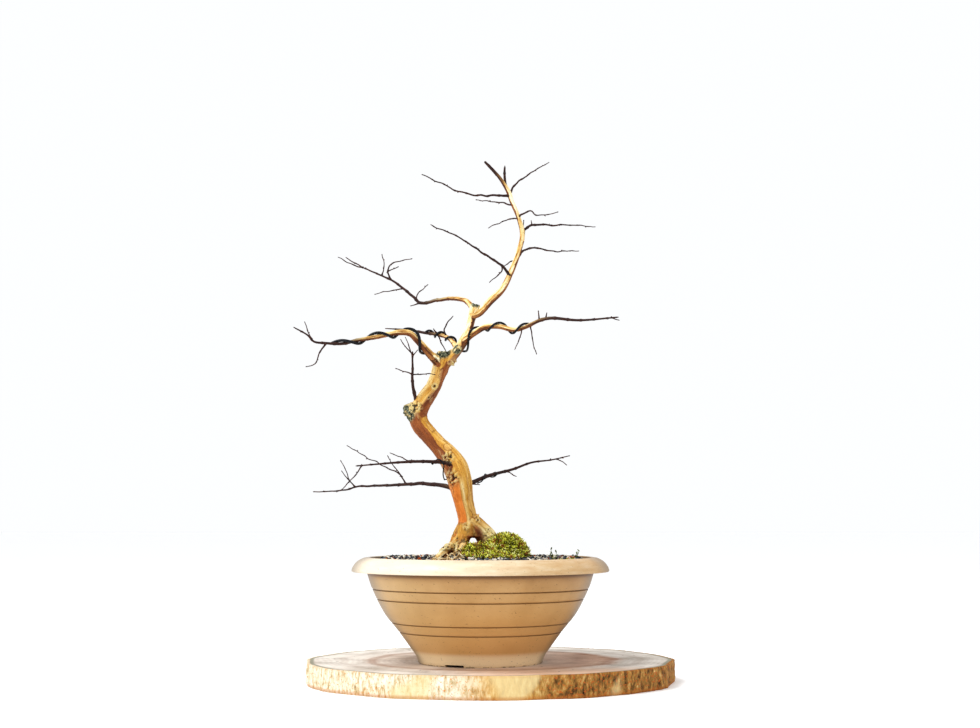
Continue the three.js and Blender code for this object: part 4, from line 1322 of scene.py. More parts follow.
# %% The pot's finish
def pot_finish():
    plastic = Finish("satin_plastic", roughness=0.42, specular_ior_level=0.45)
    x, y, z = plastic.axes(plastic.place)

    def above(low, high):
        return plastic.between(z, low * MM, high * MM)

    cloud = plastic.noise(plastic.place, 0.03, 3, 0.5)
    fine = plastic.noise(plastic.place, 0.0009, 2, 0.5)
    stain = plastic.noise(plastic.place, 0.004, 4, 0.6)
    out = (x * x + y * y) ** 0.5
    inside = 1 - plastic.between(out, (MOUTH_RADIUS - 3) * MM, (MOUTH_RADIUS - 1.6) * MM)
    stained = inside * above(RIM_TOP - 16, RIM_TOP - 15)
    dirt = plastic.between(plastic.noise(plastic.place, 0.0016, 3, 0.7), 0.68, 0.72)
    low = 1 - above(SLICE_TOP + 4, SLICE_TOP + 30)
    base = plastic.coats(
        body_colours(plastic, cloud, above),
        (stained * 0.8, plastic.ramp(stain, (0.35, "4A3320"), (0.6, "8C6238"), (0.8, "B98C58"))),
        (dirt * (0.1 + 0.8 * low), "3A2414"),
    )
    # Painted shade in the grooves.
    for groove in GROOVES:
        middle = SLICE_TOP + groove
        near = (1 - above(middle + 0.4, middle + 0.9)).least(above(middle - 0.9, middle - 0.4))
        base = plastic.mix(near * 0.6, base, "5E3A1A")
    scuff_place = plastic.stretched(plastic.place, (1, 1, 2.2))
    scuffs = plastic.between(plastic.noise(scuff_place, 0.0035, 5, 0.75), 0.635, 0.66)
    under = 1 - above(SLICE_TOP + 0.1, SLICE_TOP + 1.6)
    base = plastic.coats(
        base,
        (scuffs * 0.7, "3A2614"),
        (under * plastic.between(stain, 0.45, 0.6) * 0.7, "5A3A1E"),
    )
    rings = plastic.noise(plastic.stretched(plastic.place, (0.02, 0.02, 1)), 0.0016, 2, 0.5)
    normal = plastic.bumps(rings * 0.5 + fine * 0.5, 0.00012, 0.5)
    return plastic.paint(base_color=base, roughness=0.36 + 0.14 * cloud + 0.3 * stained,
                         normal=normal)


pot = keep("training_pot", pot_mesh, [pot_finish()], ["pot"])
pot.data.set_sharp_from_angle(angle=math.radians(38))

# %% [markdown]
# ## The slice of log
# A slice has three faces: the cut top, the cut bottom and the bark between them. The bark is
# furrowed from top to bottom, crumbled at its edges, and its line in the plan is the line of
# the tree, not a circle. The ring starts as a circle of many corners, takes the slice's plan,
# and is extruded up and inset to the middle, so that each corner of the top knows how far it
# lies between the heart and the bark.

# %% The plan of the slice
SLICE_SIDES = 400
SLICE_RADIUS = 177.0
SLICE_MIDDLE = (13.0, 26.0)
EDGE_REACH = 0.9955  # the share of the radius where the side's rounding meets the faces
TOP_RINGS = 42


def slice_reach(angle):
    """The slice's radius in mm at this angle round its middle."""
    oval = 8 * math.cos(2 * (angle - math.radians(8)))
    egg = 5.5 * math.sin(angle) - 3.5 * math.cos(angle)
    bark = 1.2 * math.sin(11 * angle) + 0.8 * math.sin(17 * angle + 1)
    return SLICE_RADIUS + oval + egg + bark


print("the slice reaches", round(slice_reach(0)), "mm to the right of its middle")


# %% The slab
def slice_profile():
    """From the bottom edge up the bark and over the top to the heart, as (height, reach)."""
    rounded = [(0.0, EDGE_REACH), (0.04, 0.9985), (0.12, 1.0)]
    side = [(0.12 + 0.76 * i / 9, 1.0) for i in range(1, 9)]
    top_edge = [(1 - rise, share) for rise, share in reversed(rounded)]
    inward = [0.97 * (1 - (i / TOP_RINGS) ** 1.15) for i in range(1, TOP_RINGS)]
    top = [(1.0, EDGE_REACH * share) for share in (0.992, 0.984, 0.976, *inward)]
    return [*rounded, *side, *top_edge, *top]


def slice_mesh():
    """A round slice of radius and height 1, whose corners tell how far out they lie."""
    shape = bmesh.new()
    grown = bmesh.ops.create_circle(shape, cap_ends=False, segments=SLICE_SIDES, radius=1)
    ring, edges = grown["verts"], shape.edges[:]
    for k, (rise, share) in enumerate(slice_profile()):
        if k:
            grown = bmesh.ops.extrude_edge_only(shape, edges=edges)["geom"]
            ring = [g for g in grown if isinstance(g, bmesh.types.BMVert)]
            edges = [g for g in grown if isinstance(g, bmesh.types.BMEdge)]
        for corner in ring:
            angle = math.atan2(corner.co.y, corner.co.x)
            corner.co = (share * math.cos(angle), share * math.sin(angle), rise)
    bmesh.ops.pointmerge(shape, verts=ring, merge_co=(0, 0, 1))
    bottom = [e for e in shape.edges if e.is_boundary]
    bmesh.ops.contextual_create(shape, geom=bottom)
    bmesh.ops.recalc_face_normals(shape, faces=shape.faces)
    return mesh_from(shape, "log_slice")


slab = slice_mesh()
flat = corners(slab)
angles = np.arctan2(flat[:, 1], flat[:, 0])
shares = np.hypot(flat[:, 0], flat[:, 1])
reach = np.array([slice_reach(a) for a in angles])
around = np.column_stack([np.cos(angles), np.sin(angles)])
side_part = smoothstep(shares, 0.975, 0.99)
top_part = (flat[:, 2] > 0.999) & (shares < 0.993)
print("slab has", len(flat), "corners,", round(100 * top_part.mean()), "% of them on top")

# %% The slice's bark
furrow = clouds(np.column_stack([around * reach[:, None], flat[:, 2] * 5]), 4.2)
crumble = clouds(np.column_stack([around * reach[:, None], flat[:, 2] * 16]), 2.1, 5.0)
front = np.exp(-(((angles + math.pi / 2) / 0.42) ** 2))
smooth_patch = smoothstep(clouds(np.column_stack([around * 5, flat[:, 2] * 0.4]), 1.0, 3.0)
                          + 0.5 * front - 0.35, 0.1, 0.35)
rough_bark = (1.6 * furrow + 0.8 * crumble) * (1 - 0.75 * smooth_patch)
radius = shares * reach + side_part * (rough_bark - 0.5)
plan = around * radius[:, None] + SLICE_MIDDLE
print("bark from", round(rough_bark.min(), 1), "to", round(rough_bark.max(), 1), "mm")

# %% Drying cracks, and the slice's heights
checks = np.zeros(len(flat))
for turn, start, width in (
    (-2.05, 0.55, 0.9), (-0.42, 0.35, 0.7), (0.6, 0.5, 0.8), (2.2, 0.4, 1.0), (3.05, 0.62, 0.6),
):
    away = np.abs((angles - turn - 0.02 * np.sin(shares * 40) + np.pi) % (2 * np.pi) - np.pi)
    near = 1 - smoothstep(away * radius, 0.2, width)
    checks = np.maximum(checks, near * smoothstep(shares, start, start + 0.1))
checks = checks * top_part
heights = flat[:, 2] * SLICE_TOP
top_noise = clouds(np.column_stack([plan, heights * 0]), 7.0)
heights = heights - top_part * (1.2 * checks + 0.12 * (top_noise + 1))
crumbled = ~top_part & (flat[:, 2] > 0.5)
heights = np.clip(heights + 0.3 * crumble * crumbled, 0, SLICE_TOP)
set_corners(slab, np.column_stack([plan, heights]) * MM)
note(slab, "rings", np.column_stack([shares, side_part, checks]))
note(slab, "bark", np.column_stack([angles * reach * MM, heights * MM, smooth_patch]))
print("slice is", np.round(np.ptp(corners(slab), axis=0) / MM).tolist(), "mm")

# %% [markdown]
# The top is pale, weathered sapwood with a pinkish brown heart that lies to one side, fine
# rings, dark dots and a thin grey-green line where the bark starts. The bark itself changes
# round the slice: whitish and flecked with orange at the left, smooth and straw-coloured at
# the front, olive brown at the right.


# %% The cut wood's colours
def cut_colours(cut, share, side, check, cloud, fine, rings, ring_place):
    """Pale sapwood with a brown heart to one side, rings, dark dots, and cracks with painted shade.
    """
    x, y, z = cut.axes(cut.place)
    heart = cut.ramp(cloud, (0.3, "A57C62"), (0.55, "C79F86"), (0.8, "DABFA8"))
    rightness = cut.between(x + 0.05 * (cloud - 0.5), 0.02, 0.13)
    heartwood = 1 - cut.between(share + 0.16 * (cloud - 0.5), 0.62, 0.74)
    tint = (1 - cut.between(y, -0.10, -0.03)) * cut.between(x, -0.06, 0.03)
    band = cut.between(ring_place, 0.66, 0.70) * (1 - cut.between(ring_place, 0.72, 0.75))
    wide_rings = cut.node("ShaderNodeMath", {"operation": "SINE"}, {0: ring_place * 37 + 1.1})
    dots = cut.between(cut.noise(cut.place, 0.006, 2, 0.5), 0.71, 0.75)
    cambium = cut.between(share, 0.955, 0.968) * (1 - cut.between(share, 0.982, 0.99))
    return cut.coats(
        cut.ramp(cloud, (0.3, "BDB5AA"), (0.5, "DCD5CC"), (0.7, "F0EBE2")),
        (heartwood * (0.25 + 0.65 * rightness), heart),
        (tint * 0.55 * (1 - side), "D9A070"),
        (band * 0.35, "9B6A4C"),
        ((rings * 0.5 + 0.5) * 0.10, "8B6A50"),
        ((wide_rings * 0.5 + 0.5) ** 4 * 0.16, "8A6248"),
        (dots * 0.7, "4A3A30"),
        (cut.between(fine, 0.6, 0.75) * 0.25, "8A7462"),
        # Painted shade in the drying cracks.
        (check * 0.8, "3A2A20"),
        (cambium * 0.75, "7F806A"),
    )


# %% The log's bark
def coat_colours(cut, rise, patch, cloud, furrows, strip):
    """Whitish at the left, straw at the front, brown at the right, with orange flecks."""
    x = cut.axes(cut.place)[0]
    flecks = cut.noise(strip, 0.0026, 4, 0.7)
    white = cut.ramp(furrows, (0.3, "80603A"), (0.4, "CDB78C"), (0.52, "ECE2CA"),
                     (0.7, "FAF6EA"))
    straw = cut.ramp(furrows, (0.3, "9A6A2E"), (0.5, "D0A45C"), (0.72, "EAD9A2"))
    brown = cut.ramp(furrows, (0.32, "2E1E0C"), (0.44, "74542A"), (0.57, "B08444"),
                     (0.72, "DCBC84"))
    edge_low = 1 - cut.between(rise, 0.0015, 0.0045)
    edge_high = cut.between(rise, SLICE_TOP * MM - 0.003, SLICE_TOP * MM - 0.001)
    return cut.coats(
        cut.mix(cut.between(flecks, 0.57, 0.63), white, "DC8E44"),
        (cut.between(x, -0.03, 0.02), straw),
        (cut.between(x + 0.03 * cloud, 0.05, 0.09),
         cut.mix(cut.between(flecks, 0.54, 0.6), brown, "B8652C")),
        (patch * 0.7, "E6D3A0"),
        ((edge_low + edge_high * 0.35).least(1) * 0.5, "B87234"),
    )


# %% The slice's finish
def slice_finish():
    cut = Finish("cut_log", roughness=0.8, specular_ior_level=0.25)
    share, side, check = cut.axes(cut.attribute("rings"))
    along, rise, patch = cut.axes(cut.attribute("bark"))
    ring_place = share + 0.10 * cut.noise(cut.place, 0.06, 3, 0.5)
    rings = cut.node("ShaderNodeMath", {"operation": "SINE"}, {0: ring_place * 210})
    cloud = cut.noise(cut.place, 0.035, 4, 0.6)
    fine = cut.noise(cut.place, 0.0022, 4, 0.65)
    strip = cut.node("ShaderNodeCombineXYZ", {}, {"X": along, "Y": rise})
    furrows = cut.noise(cut.stretched(strip, (1, 0.35, 1)), 0.004, 5, 0.65)
    wood_colour = cut_colours(cut, share, side, check, cloud, fine, rings, ring_place)
    coat = coat_colours(cut, rise, patch, cloud, furrows, strip)
    base = cut.mix(cut.between(side, 0.3, 0.7), wood_colour, coat)
    normal = cut.bumps(furrows * side * 1.2 + fine * 0.25 + rings * 0.04, 0.0016, 0.7)
    return cut.paint(base_color=base, roughness=0.7 + 0.2 * fine, normal=normal)


keep("log_slice_cut", slab, [slice_finish()], ["log_slice"])

# %% [markdown]
# ## Grit
# The soil of such a tree is no earth but a mix of hard grains, 2 to 6 mm across: black lava,
# white pumice and a little red clay. Each grain here is a chipped lump of twenty faces, and
# thousands of them are dropped on a dark bed that follows the CAD soil. A bump pattern alone
# would look flat along the rim, where grains are seen against the light.

# %% The bed under the grains
def cad_skin(name):
    """A search tree of a CAD node's faces, for finding places on it."""
    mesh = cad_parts[name].data
    places = [corner.co for corner in mesh.vertices]
    return BVHTree.FromPolygons(places, [face.vertices for face in mesh.polygons])


soil_skin = cad_skin("soil")
HEAP_UNDER_RIM = 1.5


def soil_height(x, y):
    """Height of the soil's surface in mm at a place in mm."""
    hit = soil_skin.ray_cast(Vector((x * MM, y * MM, 1)), Vector((0, 0, -1)))[0]
    return None if hit is None else hit.z / MM


def heaped(x, y, z):
    """How far the loose grains are heaped up against the wall at the back, in mm."""
    short = np.maximum(RIM_TOP - HEAP_UNDER_RIM - z, 0)
    return short * smoothstep(np.hypot(x, y), 60, 98) * smoothstep(y, 0, 40)


bed = bmesh.new()
bed.from_mesh(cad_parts["soil"].data)
bmesh.ops.remove_doubles(bed, verts=bed.verts, dist=1e-6)
bed_mesh = with_modifiers(
    mesh_from(bed, "soil_bed"),
    ("REMESH", {"mode": "VOXEL", "voxel_size": 2.2 * MM}),
)
bed_places = corners(bed_mesh) / MM
bed_out = normals_of(bed_mesh)
upward = smoothstep(bed_out[:, 2], 0.3, 0.7)
bed_places += bed_out * (upward * (0.9 * clouds(bed_places, 3.0) - 1.6))[:, None]
bed_places[:, 2] += upward * heaped(*bed_places.T)
set_corners(bed_mesh, bed_places * MM)
print("bed has", len(bed_mesh.vertices), "corners")


# %% Grains
GRAIN_KINDS = 8
SOIL_REACH = 0.5 * (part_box("soil")[1].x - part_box("soil")[0].x) / MM
print("grains reach", round(SOIL_REACH), "mm from the axis")


def grain_shapes(seed):
    """Chipped grains: a coarse sphere, drawn out of shape."""
    chance = random.Random(seed)
    shapes = []
    for _ in range(GRAIN_KINDS):
        shape = bmesh.new()
        bmesh.ops.create_icosphere(shape, subdivisions=1, radius=1)
        for corner in shape.verts:
            corner.co *= chance.uniform(0.78, 1.18)
        sides = ((0.8, 1.25), (0.75, 1.05), (0.6, 0.9))
        stretch = [chance.uniform(low, high) for low, high in sides]
        bmesh.ops.scale(shape, vec=stretch, verts=shape.verts)
        shapes.append(mesh_from(shape, "grain"))
    return shapes


def tumbled(chance):
    turn = [chance.uniform(0, 2 * math.pi) for _ in range(3)]
    over = Matrix.Rotation(turn[1], 4, "X") @ Matrix.Rotation(turn[2], 4, "Y")
    return Matrix.Rotation(turn[0], 4, "Z") @ over


# %% Places for the grains
wood_tree = KDTree(len(wood_places))
for i, place in enumerate(corners(wood) / MM):
    wood_tree.insert(place, i)
wood_tree.balance()
print("the roots and trunk have", len(wood_places), "corners to keep clear of")

def free_of_wood(place, size):
    """Whether a grain of this radius at this place stays out of the roots, or nearly so."""
    return wood_tree.find(place)[2] > 0.7 * size


def strewn(seed, count, small, large, lift):
    """Placings for this many grains over the soil, from `small` to `large` mm across."""
    chance = random.Random(seed)
    found = []
    while len(found) < count:
        out = SOIL_REACH * math.sqrt(chance.random()) - 1.2
        angle = chance.uniform(0, 2 * math.pi)
        size = chance.uniform(small, large) / 2
        x, y = out * math.cos(angle), out * math.sin(angle)
        z = soil_height(x, y)
        if z is None or out + size > SOIL_REACH:
            continue
        place = Vector((x, y, z + lift * size + float(heaped(x, y, z))))
        if not free_of_wood(place, size):
            continue
        matrix = Matrix.Translation(place * MM) @ tumbled(chance) @ Matrix.Scale(size * MM, 4)
        found.append((chance.randrange(GRAIN_KINDS), matrix))
    return found


# %% [markdown]
# The grains differ only in size and colour, so one finish serves them all, with three colours
# for each kind. A grain's own tone is an attribute that is the same over the whole grain.

# %% Finishes of the grit
def grit_finish(name, dark, mid, light, pits):
    grit = Finish(name, roughness=0.9, specular_ior_level=0.2)
    tone = grit.attribute("tone", "Fac")
    speckle = grit.noise(grit.place, 0.0007, 3, 0.7)
    base = grit.ramp(tone * 0.75 + speckle * 0.25, (0.1, dark), (0.5, mid), (0.9, light))
    base = grit.mix(grit.between(speckle, 0.58, 0.7) * pits, base, dark)
    normal = grit.bumps(speckle, 0.0004, 0.8)
    return grit.paint(base_color=base, roughness=0.75 + 0.2 * speckle, normal=normal)


def keep_grit(name, seed, placings, finish):
    mesh, owner = scattered(name, grain_shapes(seed), placings)
    chance = np.random.default_rng(seed)
    note(mesh, "tone", chance.random(len(placings))[owner])
    keep(name, mesh, [finish], smooth=False)


lava = grit_finish("black_lava", "0E0E10", "2A2B2F", "5F6670", 0.5)
pumice = grit_finish("white_pumice", "9C8F78", "CFC6B2", "F1ECDF", 0.35)
clay = grit_finish("red_clay", "6E2C12", "A8552A", "C9864C", 0.3)
bed_finish = grit_finish("soil_bed", "0B0908", "1E1814", "3A2F26", 0.6)
note(bed_mesh, "tone", np.full(len(bed_mesh.vertices), 0.3))
keep("soil_bed", bed_mesh, [bed_finish], ["soil"])
keep_grit("grit_lava", 11, strewn(11, 3400, 2.6, 5.6, 0.05), lava)
keep_grit("grit_pumice", 12, strewn(12, 2500, 2.2, 5.0, 0.15), pumice)
keep_grit("grit_clay", 13, strewn(13, 700, 2.0, 4.6, 0.2), clay)

# %% [markdown]
# ## Moss
# The moss is a cushion of short strands. Seen close, it is a dark brown-green floor with
# bright curved tips over it, and dark gaps. So each lump of CAD moss gets a soft, uneven
# skin, whose dark brown-green is partly painted shade for the gaps, and thousands of bent
# strands stand on it, bright at the tip and with painted shade at the foot. A bump pattern
# would be quicker, but it would leave the cushion's outline smooth.

# %% One strand of moss, and the skin under it
LEAF_KINDS = 6
ANY_TURN = 6.28  # radians


def leaf_shape(chance):
    """One strand of moss, bent over at half its height."""
    shape = bmesh.new()
    bmesh.ops.create_cone(shape, cap_ends=True, segments=4, radius1=0.11, radius2=0.13,
                          depth=0.55)
    bmesh.ops.translate(shape, vec=(0, 0, 0.27), verts=shape.verts)
    top = max(shape.faces, key=lambda face: face.calc_center_median().z)
    tip = bmesh.ops.extrude_discrete_faces(shape, faces=[top])["faces"][0]
    bend = chance.uniform(0.05, 0.4)
    for corner in tip.verts:
        corner.co = (corner.co.x * 0.35 + bend, corner.co.y * 0.35, corner.co.z + 0.5 - 0.5 * bend)
    return mesh_from(shape, "leaf")


def moss_skin(name):
    """The CAD moss as a lumpy skin, sunk so that the strands' tips reach the CAD surface."""
    shape = bmesh.new()
    shape.from_mesh(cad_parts[name].data)
    bmesh.ops.remove_doubles(shape, verts=shape.verts, dist=1e-6)
    mesh = with_modifiers(
        mesh_from(shape, "moss"),
        ("REMESH", {"mode": "VOXEL", "voxel_size": 1.3 * MM}),
        ("SMOOTH", {"factor": 0.5, "iterations": 3}),
    )
    places = corners(mesh) / MM
    out = normals_of(mesh)
    lumps = 1.1 * clouds(places, 7.0) + 0.6 * clouds(places, 3.0, 3.0) - 2.8
    set_corners(mesh, (places + out * lumps[:, None]) * MM)
    return mesh


print("strands come in", LEAF_KINDS, "shapes, and lean by chance")


# %% Places for the strands
def leaf_matrix(chance, place, up, tall):
    """A strand's place, leaning at random from `up`, and about `tall` mm high."""
    lean = (up + Vector([chance.uniform(-0.75, 0.75) for _ in range(3)])).normalized()
    turn = Matrix.Rotation(chance.uniform(0, ANY_TURN), 4, "Z")
    size = Matrix.Scale(chance.uniform(0.65, 1.2) * tall * MM, 4)
    leaning = lean.to_track_quat("Z", "Y").to_matrix().to_4x4()
    return Matrix.Translation(place) @ leaning @ turn @ size


def leaf_places(mesh, seed, count, tall):
    """Random places on the faces that look up or out, with a matrix for each leaf."""
    chance = random.Random(seed)
    polygons = [p for p in mesh.polygons if p.normal.z > -0.25]
    picked = chance.choices(polygons, [p.area for p in polygons], k=count)
    found = []
    for polygon in picked:
        jitter = Vector([chance.uniform(-0.6, 0.6) for _ in range(3)]) * MM
        up = polygon.normal + Vector((0, 0, 0.3))
        matrix = leaf_matrix(chance, polygon.center + jitter, up, tall)
        if wood_tree.find(matrix @ Vector((0, 0, 1)) / MM)[2] > 0.8:
            found.append((chance.randrange(LEAF_KINDS), matrix))
    return found


# %% The moss's finishes
def moss_floor_finish():
    floor_moss = Finish("moss_floor", roughness=0.95, specular_ior_level=0.1)
    cloud = floor_moss.noise(floor_moss.place, 0.005, 4, 0.6)
    # Dark brown-green: partly the moss's own colour, partly painted shade for the gaps between
    # strands.
    base = floor_moss.ramp(cloud, (0.3, "1A1408"), (0.5, "3A3A10"), (0.7, "6A6E1C"))
    return floor_moss.paint(base_color=base, normal=floor_moss.bumps(cloud, 0.001, 0.8))


def moss_leaf_finish():
    """Green to yellow by the strand's own tone, brown in patches, and dark at the foot as painted
    shade.
    """
    leaf = Finish("moss_leaf", roughness=0.6, specular_ior_level=0.25)
    tone = leaf.attribute("tone", "Fac")
    rise = leaf.attribute("rise", "Fac")
    patch = leaf.noise(leaf.place, 0.009, 3, 0.6)
    fresh = leaf.ramp(tone * 0.8 + patch * 0.2, (0.12, "3A340A"), (0.32, "888818"),
                      (0.5, "C4C632"), (0.66, "EEF068"), (0.86, "F8F8BC"))
    brown = leaf.ramp(tone, (0.2, "4A2A0C"), (0.8, "A06A26"))
    return leaf.paint(base_color=leaf.coats(
        fresh,
        (leaf.between(patch + 0.3 * tone, 0.74, 0.8), brown),
        # Painted shade at the foot of each strand.
        ((1 - rise) ** 1.7 * 0.97, "12100A"),
    ))


# %% The moss cushions
moss_floor, moss_leaf = moss_floor_finish(), moss_leaf_finish()


def keep_leaves(name, seed, placings, tall):
    chance = random.Random(seed)
    leaves, owner = scattered(name, [leaf_shape(chance) for _ in range(LEAF_KINDS)], placings)
    feet = np.array([matrix.translation for _, matrix in placings])[owner]
    rise = np.linalg.norm(corners(leaves) - feet, axis=1) / (tall * MM)
    note(leaves, "rise", np.clip(rise, 0, 1))
    note(leaves, "tone", np.random.default_rng(seed).random(len(placings))[owner])
    keep(name, leaves, [moss_leaf], smooth=False)


def keep_moss(node, seed, count, tall):
    """A moss cushion: its skin, and this many strands on it."""
    skin = moss_skin(node)
    placings = leaf_places(skin, seed, count, tall)
    keep(node + "_floor", skin, [moss_floor], [node])
    keep_leaves(node + "_leaves", seed, placings, tall)


keep_moss("moss_mound", 21, 3000, 5.2)
keep_moss("moss_front", 22, 1300, 4.8)
keep_moss("moss_patch", 23, 420, 3.0)

# %% [markdown]
# The moss runs out over the grit in front of its cushions, and the grit at the foot of the
# left root is littered with old rootlets. Both are strewn at random inside ovals, because
# nothing orders them on the real pot either.


# %% Moss on the grit
def over_grit(chance, low, high):
    """A random place on the grit inside an oval that fills this box."""
    while True:
        across_part, back_part = chance.uniform(-1, 1), chance.uniform(-1, 1)
        if across_part**2 + back_part**2 > 1:
            continue
        x = (low[0] + high[0] + across_part * (high[0] - low[0])) / 2
        y = (low[1] + high[1] + back_part * (high[1] - low[1])) / 2
        place = Vector((x, y, soil_height(x, y)))
        if free_of_wood(place, 3):
            return place


SKIRT_TALL = 4.6
chance = random.Random(24)
skirt = []
for low, high, count in (((-20, -42), (28, 0), 1000), ((4, -38), (42, 2), 800)):
    for _ in range(count):
        kind = chance.randrange(LEAF_KINDS)
        place = over_grit(chance, low, high) * MM
        skirt.append((kind, leaf_matrix(chance, place, Vector((0, -0.2, 1)), SKIRT_TALL)))
keep_leaves("moss_skirt_leaves", 24, skirt, SKIRT_TALL)


# %% Old rootlets
def rootlet(chance):
    """A short pale root, bent like a bow, that lies on the grit."""
    foot = over_grit(chance, (-50, -50), (-12, -10))
    heading = chance.uniform(0, 2 * math.pi)
    way = Vector((math.cos(heading), math.sin(heading), chance.uniform(-0.3, 0.35)))
    long = chance.uniform(6, 15)
    bow = Vector((0, 0, chance.uniform(1, 4)))
    line = Line([foot, foot + way * long / 2 + bow, foot + way * long], 0.5)
    thick = chance.uniform(0.6, 1.1)
    return tube(line, lambda run: thick * (1 - 0.4 * run / line.length), 7, 1.2, round_end=1)


rootlets = joined([rootlet(chance) for _ in range(48)], "rootlets")
dry_root = mottled("dry_root", 0.006, (0.34, "3A2412"), (0.48, "B08A50"), (0.62, "F2E4BC"),
                   roughness=0.8)
keep("dry_rootlets", rootlets, [dry_root])

# %% [markdown]
# ## Training wires
# The wires are black-coated aluminium, wound round a bough at a steady slant. A Screw modifier
# would make a straight helix, and these boughs are crooked, so the winding is worked out point
# by point round the bough's own line. Each wire is a fine tube with rounded ends on the same
# winding as in the CAD model.

# %% The windings
FIT_GAP = 0.3  # mm between a wire and its bough


def wound(bough, stretch, turning, wire):
    """Points wound round a bough from one share of it to another. Turns start at its top."""
    (begin, end), (start_turn, turns) = stretch, turning
    count = math.ceil(abs(turns) * 8)
    points = []
    for i in range(count + 1):
        run = (begin + (end - begin) * i / count) * bough.length
        angle = 2 * math.pi * (start_turn + turns * i / count)
        way = bough.at(run, bough.ways)
        side = np.cross(way, (0, 0, 1))
        side /= np.linalg.norm(side)
        up = np.cross(side, way)
        away = bough.radius(run) + wire + FIT_GAP
        points.append(bough.at(run) + away * (side * math.sin(angle) + up * math.cos(angle)))
    return points


def across(points):
    """A wire's free points between two boughs, given as the limbs' points are."""
    return [np.array(point, float) + (0, 0, RIM_TOP) for point in points]


THICK, MIDDLING, THIN = 1.4, 1.1, 0.6  # radii of the three wires in mm
windings = {
    "left_bough_wire": (THICK, wound(left_bough, (0.07, 0.76), (0.1, 3.1), THICK)),
    "pair_wire": (MIDDLING, [
        *wound(left_rear_bough, (0.48, 0.1), (-2.2, 2.5), MIDDLING),
        *across([[-20, 8, 207], [-15, 5, 206], [-13, -1, 208]]),
        *wound(right_bough, (0.04, 0.47), (0.4, -2.6), MIDDLING),
    ]),
    "low_wire": (THIN, [
        *wound(low_right_bough, (0.34, 0.16), (0.2, 1.3), THIN),
        *across([[-10, 13, 75], [-17, 12.5, 76], [-26, 11.5, 78], [-35, 5, 77], [-36, -4, 77],
                 [-37, -11, 82]]),
        *wound(low_left_front_bough, (0.16, 0.3), (0.5, 1.2), THIN),
    ]),
}
print(len(windings), "windings")


# %% The wires' finish
def wire_finish():
    wire = Finish("black_wire", roughness=0.35, metallic=0.55, specular_ior_level=0.6)
    cloud = wire.noise(wire.place, 0.004, 3, 0.6)
    base = wire.ramp(cloud, (0.3, "08090C"), (0.6, "14161C"), (0.85, "262A33"))
    normal = wire.bumps(wire.noise(wire.place, 0.0008, 2, 0.5), 0.0001, 0.4)
    return wire.paint(base_color=base, roughness=0.28 + 0.2 * cloud, normal=normal)


wire_black = wire_finish()
for name, (thick_wire, points) in windings.items():
    line = Line(points, 0.4)
    mesh = tube(line, lambda run, r=thick_wire: r, 12, 0.8, round_end=0.4)
    keep("coated_" + name, mesh, [wire_black], [name])
    print(name, "is", round(line.length), "mm long")

# %% [markdown]
# ## Loose stones, weeds and hidden parts
# A few stones lie on the grit and two seedlings grow in it. A stone is a fine sphere with
# random slices pressed flat, which looks broken, as crushed stone is. The screens over the
# drain holes and their wire clips are under the soil, so their CAD shapes stay and only get a
# finish.

# %% Loose stones
def stone_mesh(node, seed):
    low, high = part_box(node)
    middle, half = (low + high) / 2, (high - low) / 2
    shape = bmesh.new()
    bmesh.ops.create_icosphere(shape, subdivisions=4, radius=1)
    chance = random.Random(seed)
    for _ in range(9):
        face = Vector([chance.uniform(-1, 1) for _ in range(3)]).normalized()
        depth = chance.uniform(0.72, 0.92)
        for corner in shape.verts:
            over = corner.co.dot(face) - depth
            if over > 0:
                corner.co -= face * over * 0.9
    for corner in shape.verts:
        corner.co *= 1 + 0.05 * noise.noise(corner.co * 3 + Vector((seed, 0, 0)))
    fit = Matrix.Translation(middle) @ Matrix.Diagonal((half.x, half.y, half.z, 1))
    bmesh.ops.transform(shape, matrix=fit, verts=shape.verts)
    return mesh_from(shape, "stone")


def stone_finish():
    stone = Finish("loose_stone", roughness=0.85, specular_ior_level=0.25)
    cloud = stone.noise(stone.place, 0.004, 4, 0.6)
    speck = stone.noise(stone.place, 0.0009, 3, 0.7)
    base = stone.ramp(cloud, (0.3, "8C8478"), (0.5, "B8AFA2"), (0.75, "DAD3C6"))
    base = stone.mix(stone.between(speck, 0.6, 0.68) * 0.6, base, "544C44")
    return stone.paint(base_color=base, normal=stone.bumps(speck, 0.0004, 0.7))


stones = stone_finish()
for i in range(1, 7):
    node = f"loose_stone_{i}"
    keep(f"stone_{i}", stone_mesh(node, i), [stones], [node])


# %% Weeds
STEM_SHARES = (1, 0.8, 0.6)
LEAF_SHARES = (0.45, 0.7, 0.95)


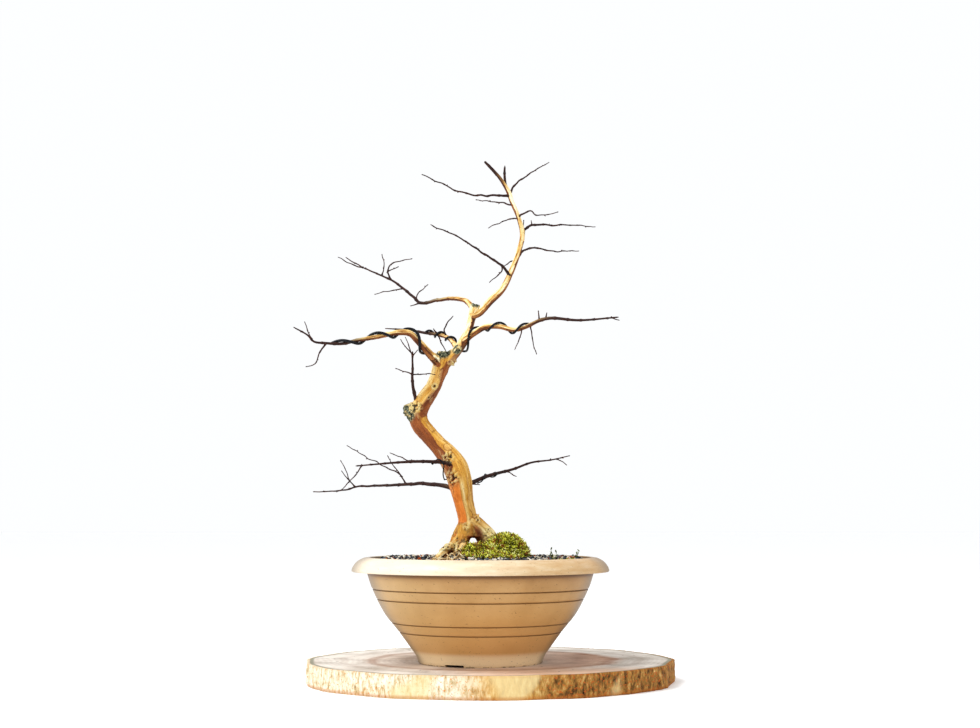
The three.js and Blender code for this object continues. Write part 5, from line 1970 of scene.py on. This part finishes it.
def weed_leaf(chance, spot):
    """A small flat leaf that starts at this place on its stem, in metres."""
    leaf = bmesh.new()
    bmesh.ops.create_uvsphere(leaf, u_segments=6, v_segments=6, radius=1)
    size = Matrix.Diagonal((0.9 * MM, 0.25 * MM, 1.7 * MM, 1))
    turn = Matrix.Rotation(chance.uniform(0, ANY_TURN), 4, "Z")
    turn = turn @ Matrix.Rotation(chance.uniform(0.5, 1.1), 4, "X")
    lift = Matrix.Translation((0, 0, 1.5 * MM))
    bmesh.ops.transform(leaf, matrix=Matrix.Translation(spot) @ turn @ lift @ size,
                        verts=leaf.verts)
    return mesh_from(leaf, "leaf")


def weed_mesh(node, seed):
    low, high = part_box(node)
    middle, chance = (low + high) / 2, random.Random(seed)
    meshes = []
    for share in STEM_SHARES:
        tip = Vector((chance.uniform(low.x, high.x), chance.uniform(low.y, high.y),
                      low.z + (high.z - low.z) * share)) / MM
        foot = Vector((middle.x, middle.y, low.z)) / MM
        bend = (foot + tip) / 2 + Vector((chance.uniform(-1, 1), chance.uniform(-1, 1), 0))
        stem = Line([foot, bend, tip], 0.4)
        meshes.append(tube(stem, lambda run, s=stem: 0.55 - 0.3 * run / s.length, 6, 0.8,
                           round_end=1))
        meshes += [weed_leaf(chance, Vector(stem.at(part * stem.length)) * MM)
                   for part in LEAF_SHARES]
    return joined(meshes, "weed")


green = mottled("seedling", 0.002, (0.3, "2E2412"), (0.5, "55602A"), (0.75, "8A9A4C"),
                roughness=0.6)
for i in (1, 2):
    keep(f"seedling_{i}", weed_mesh(f"weed_{i}", i), [green], [f"weed_{i}"])


# %% Screens and clips
screen = mottled("screen_plastic", 0.004, (0.3, "1E201F"), (0.7, "3A3D3B"), bump=0.0001,
                 roughness=0.7)
clip = mottled("clip_wire", 0.002, (0.3, "7E7C76"), (0.7, "A8A69E"), bump=0.0001,
               roughness=0.4, metallic=0.9)
for name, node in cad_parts.items():
    if name.startswith(("drain_screen", "screen_clip")):
        node.data.materials.clear()
        node.data.materials.append(screen if name.startswith("drain") else clip)
print("screens and clips keep their CAD shapes")
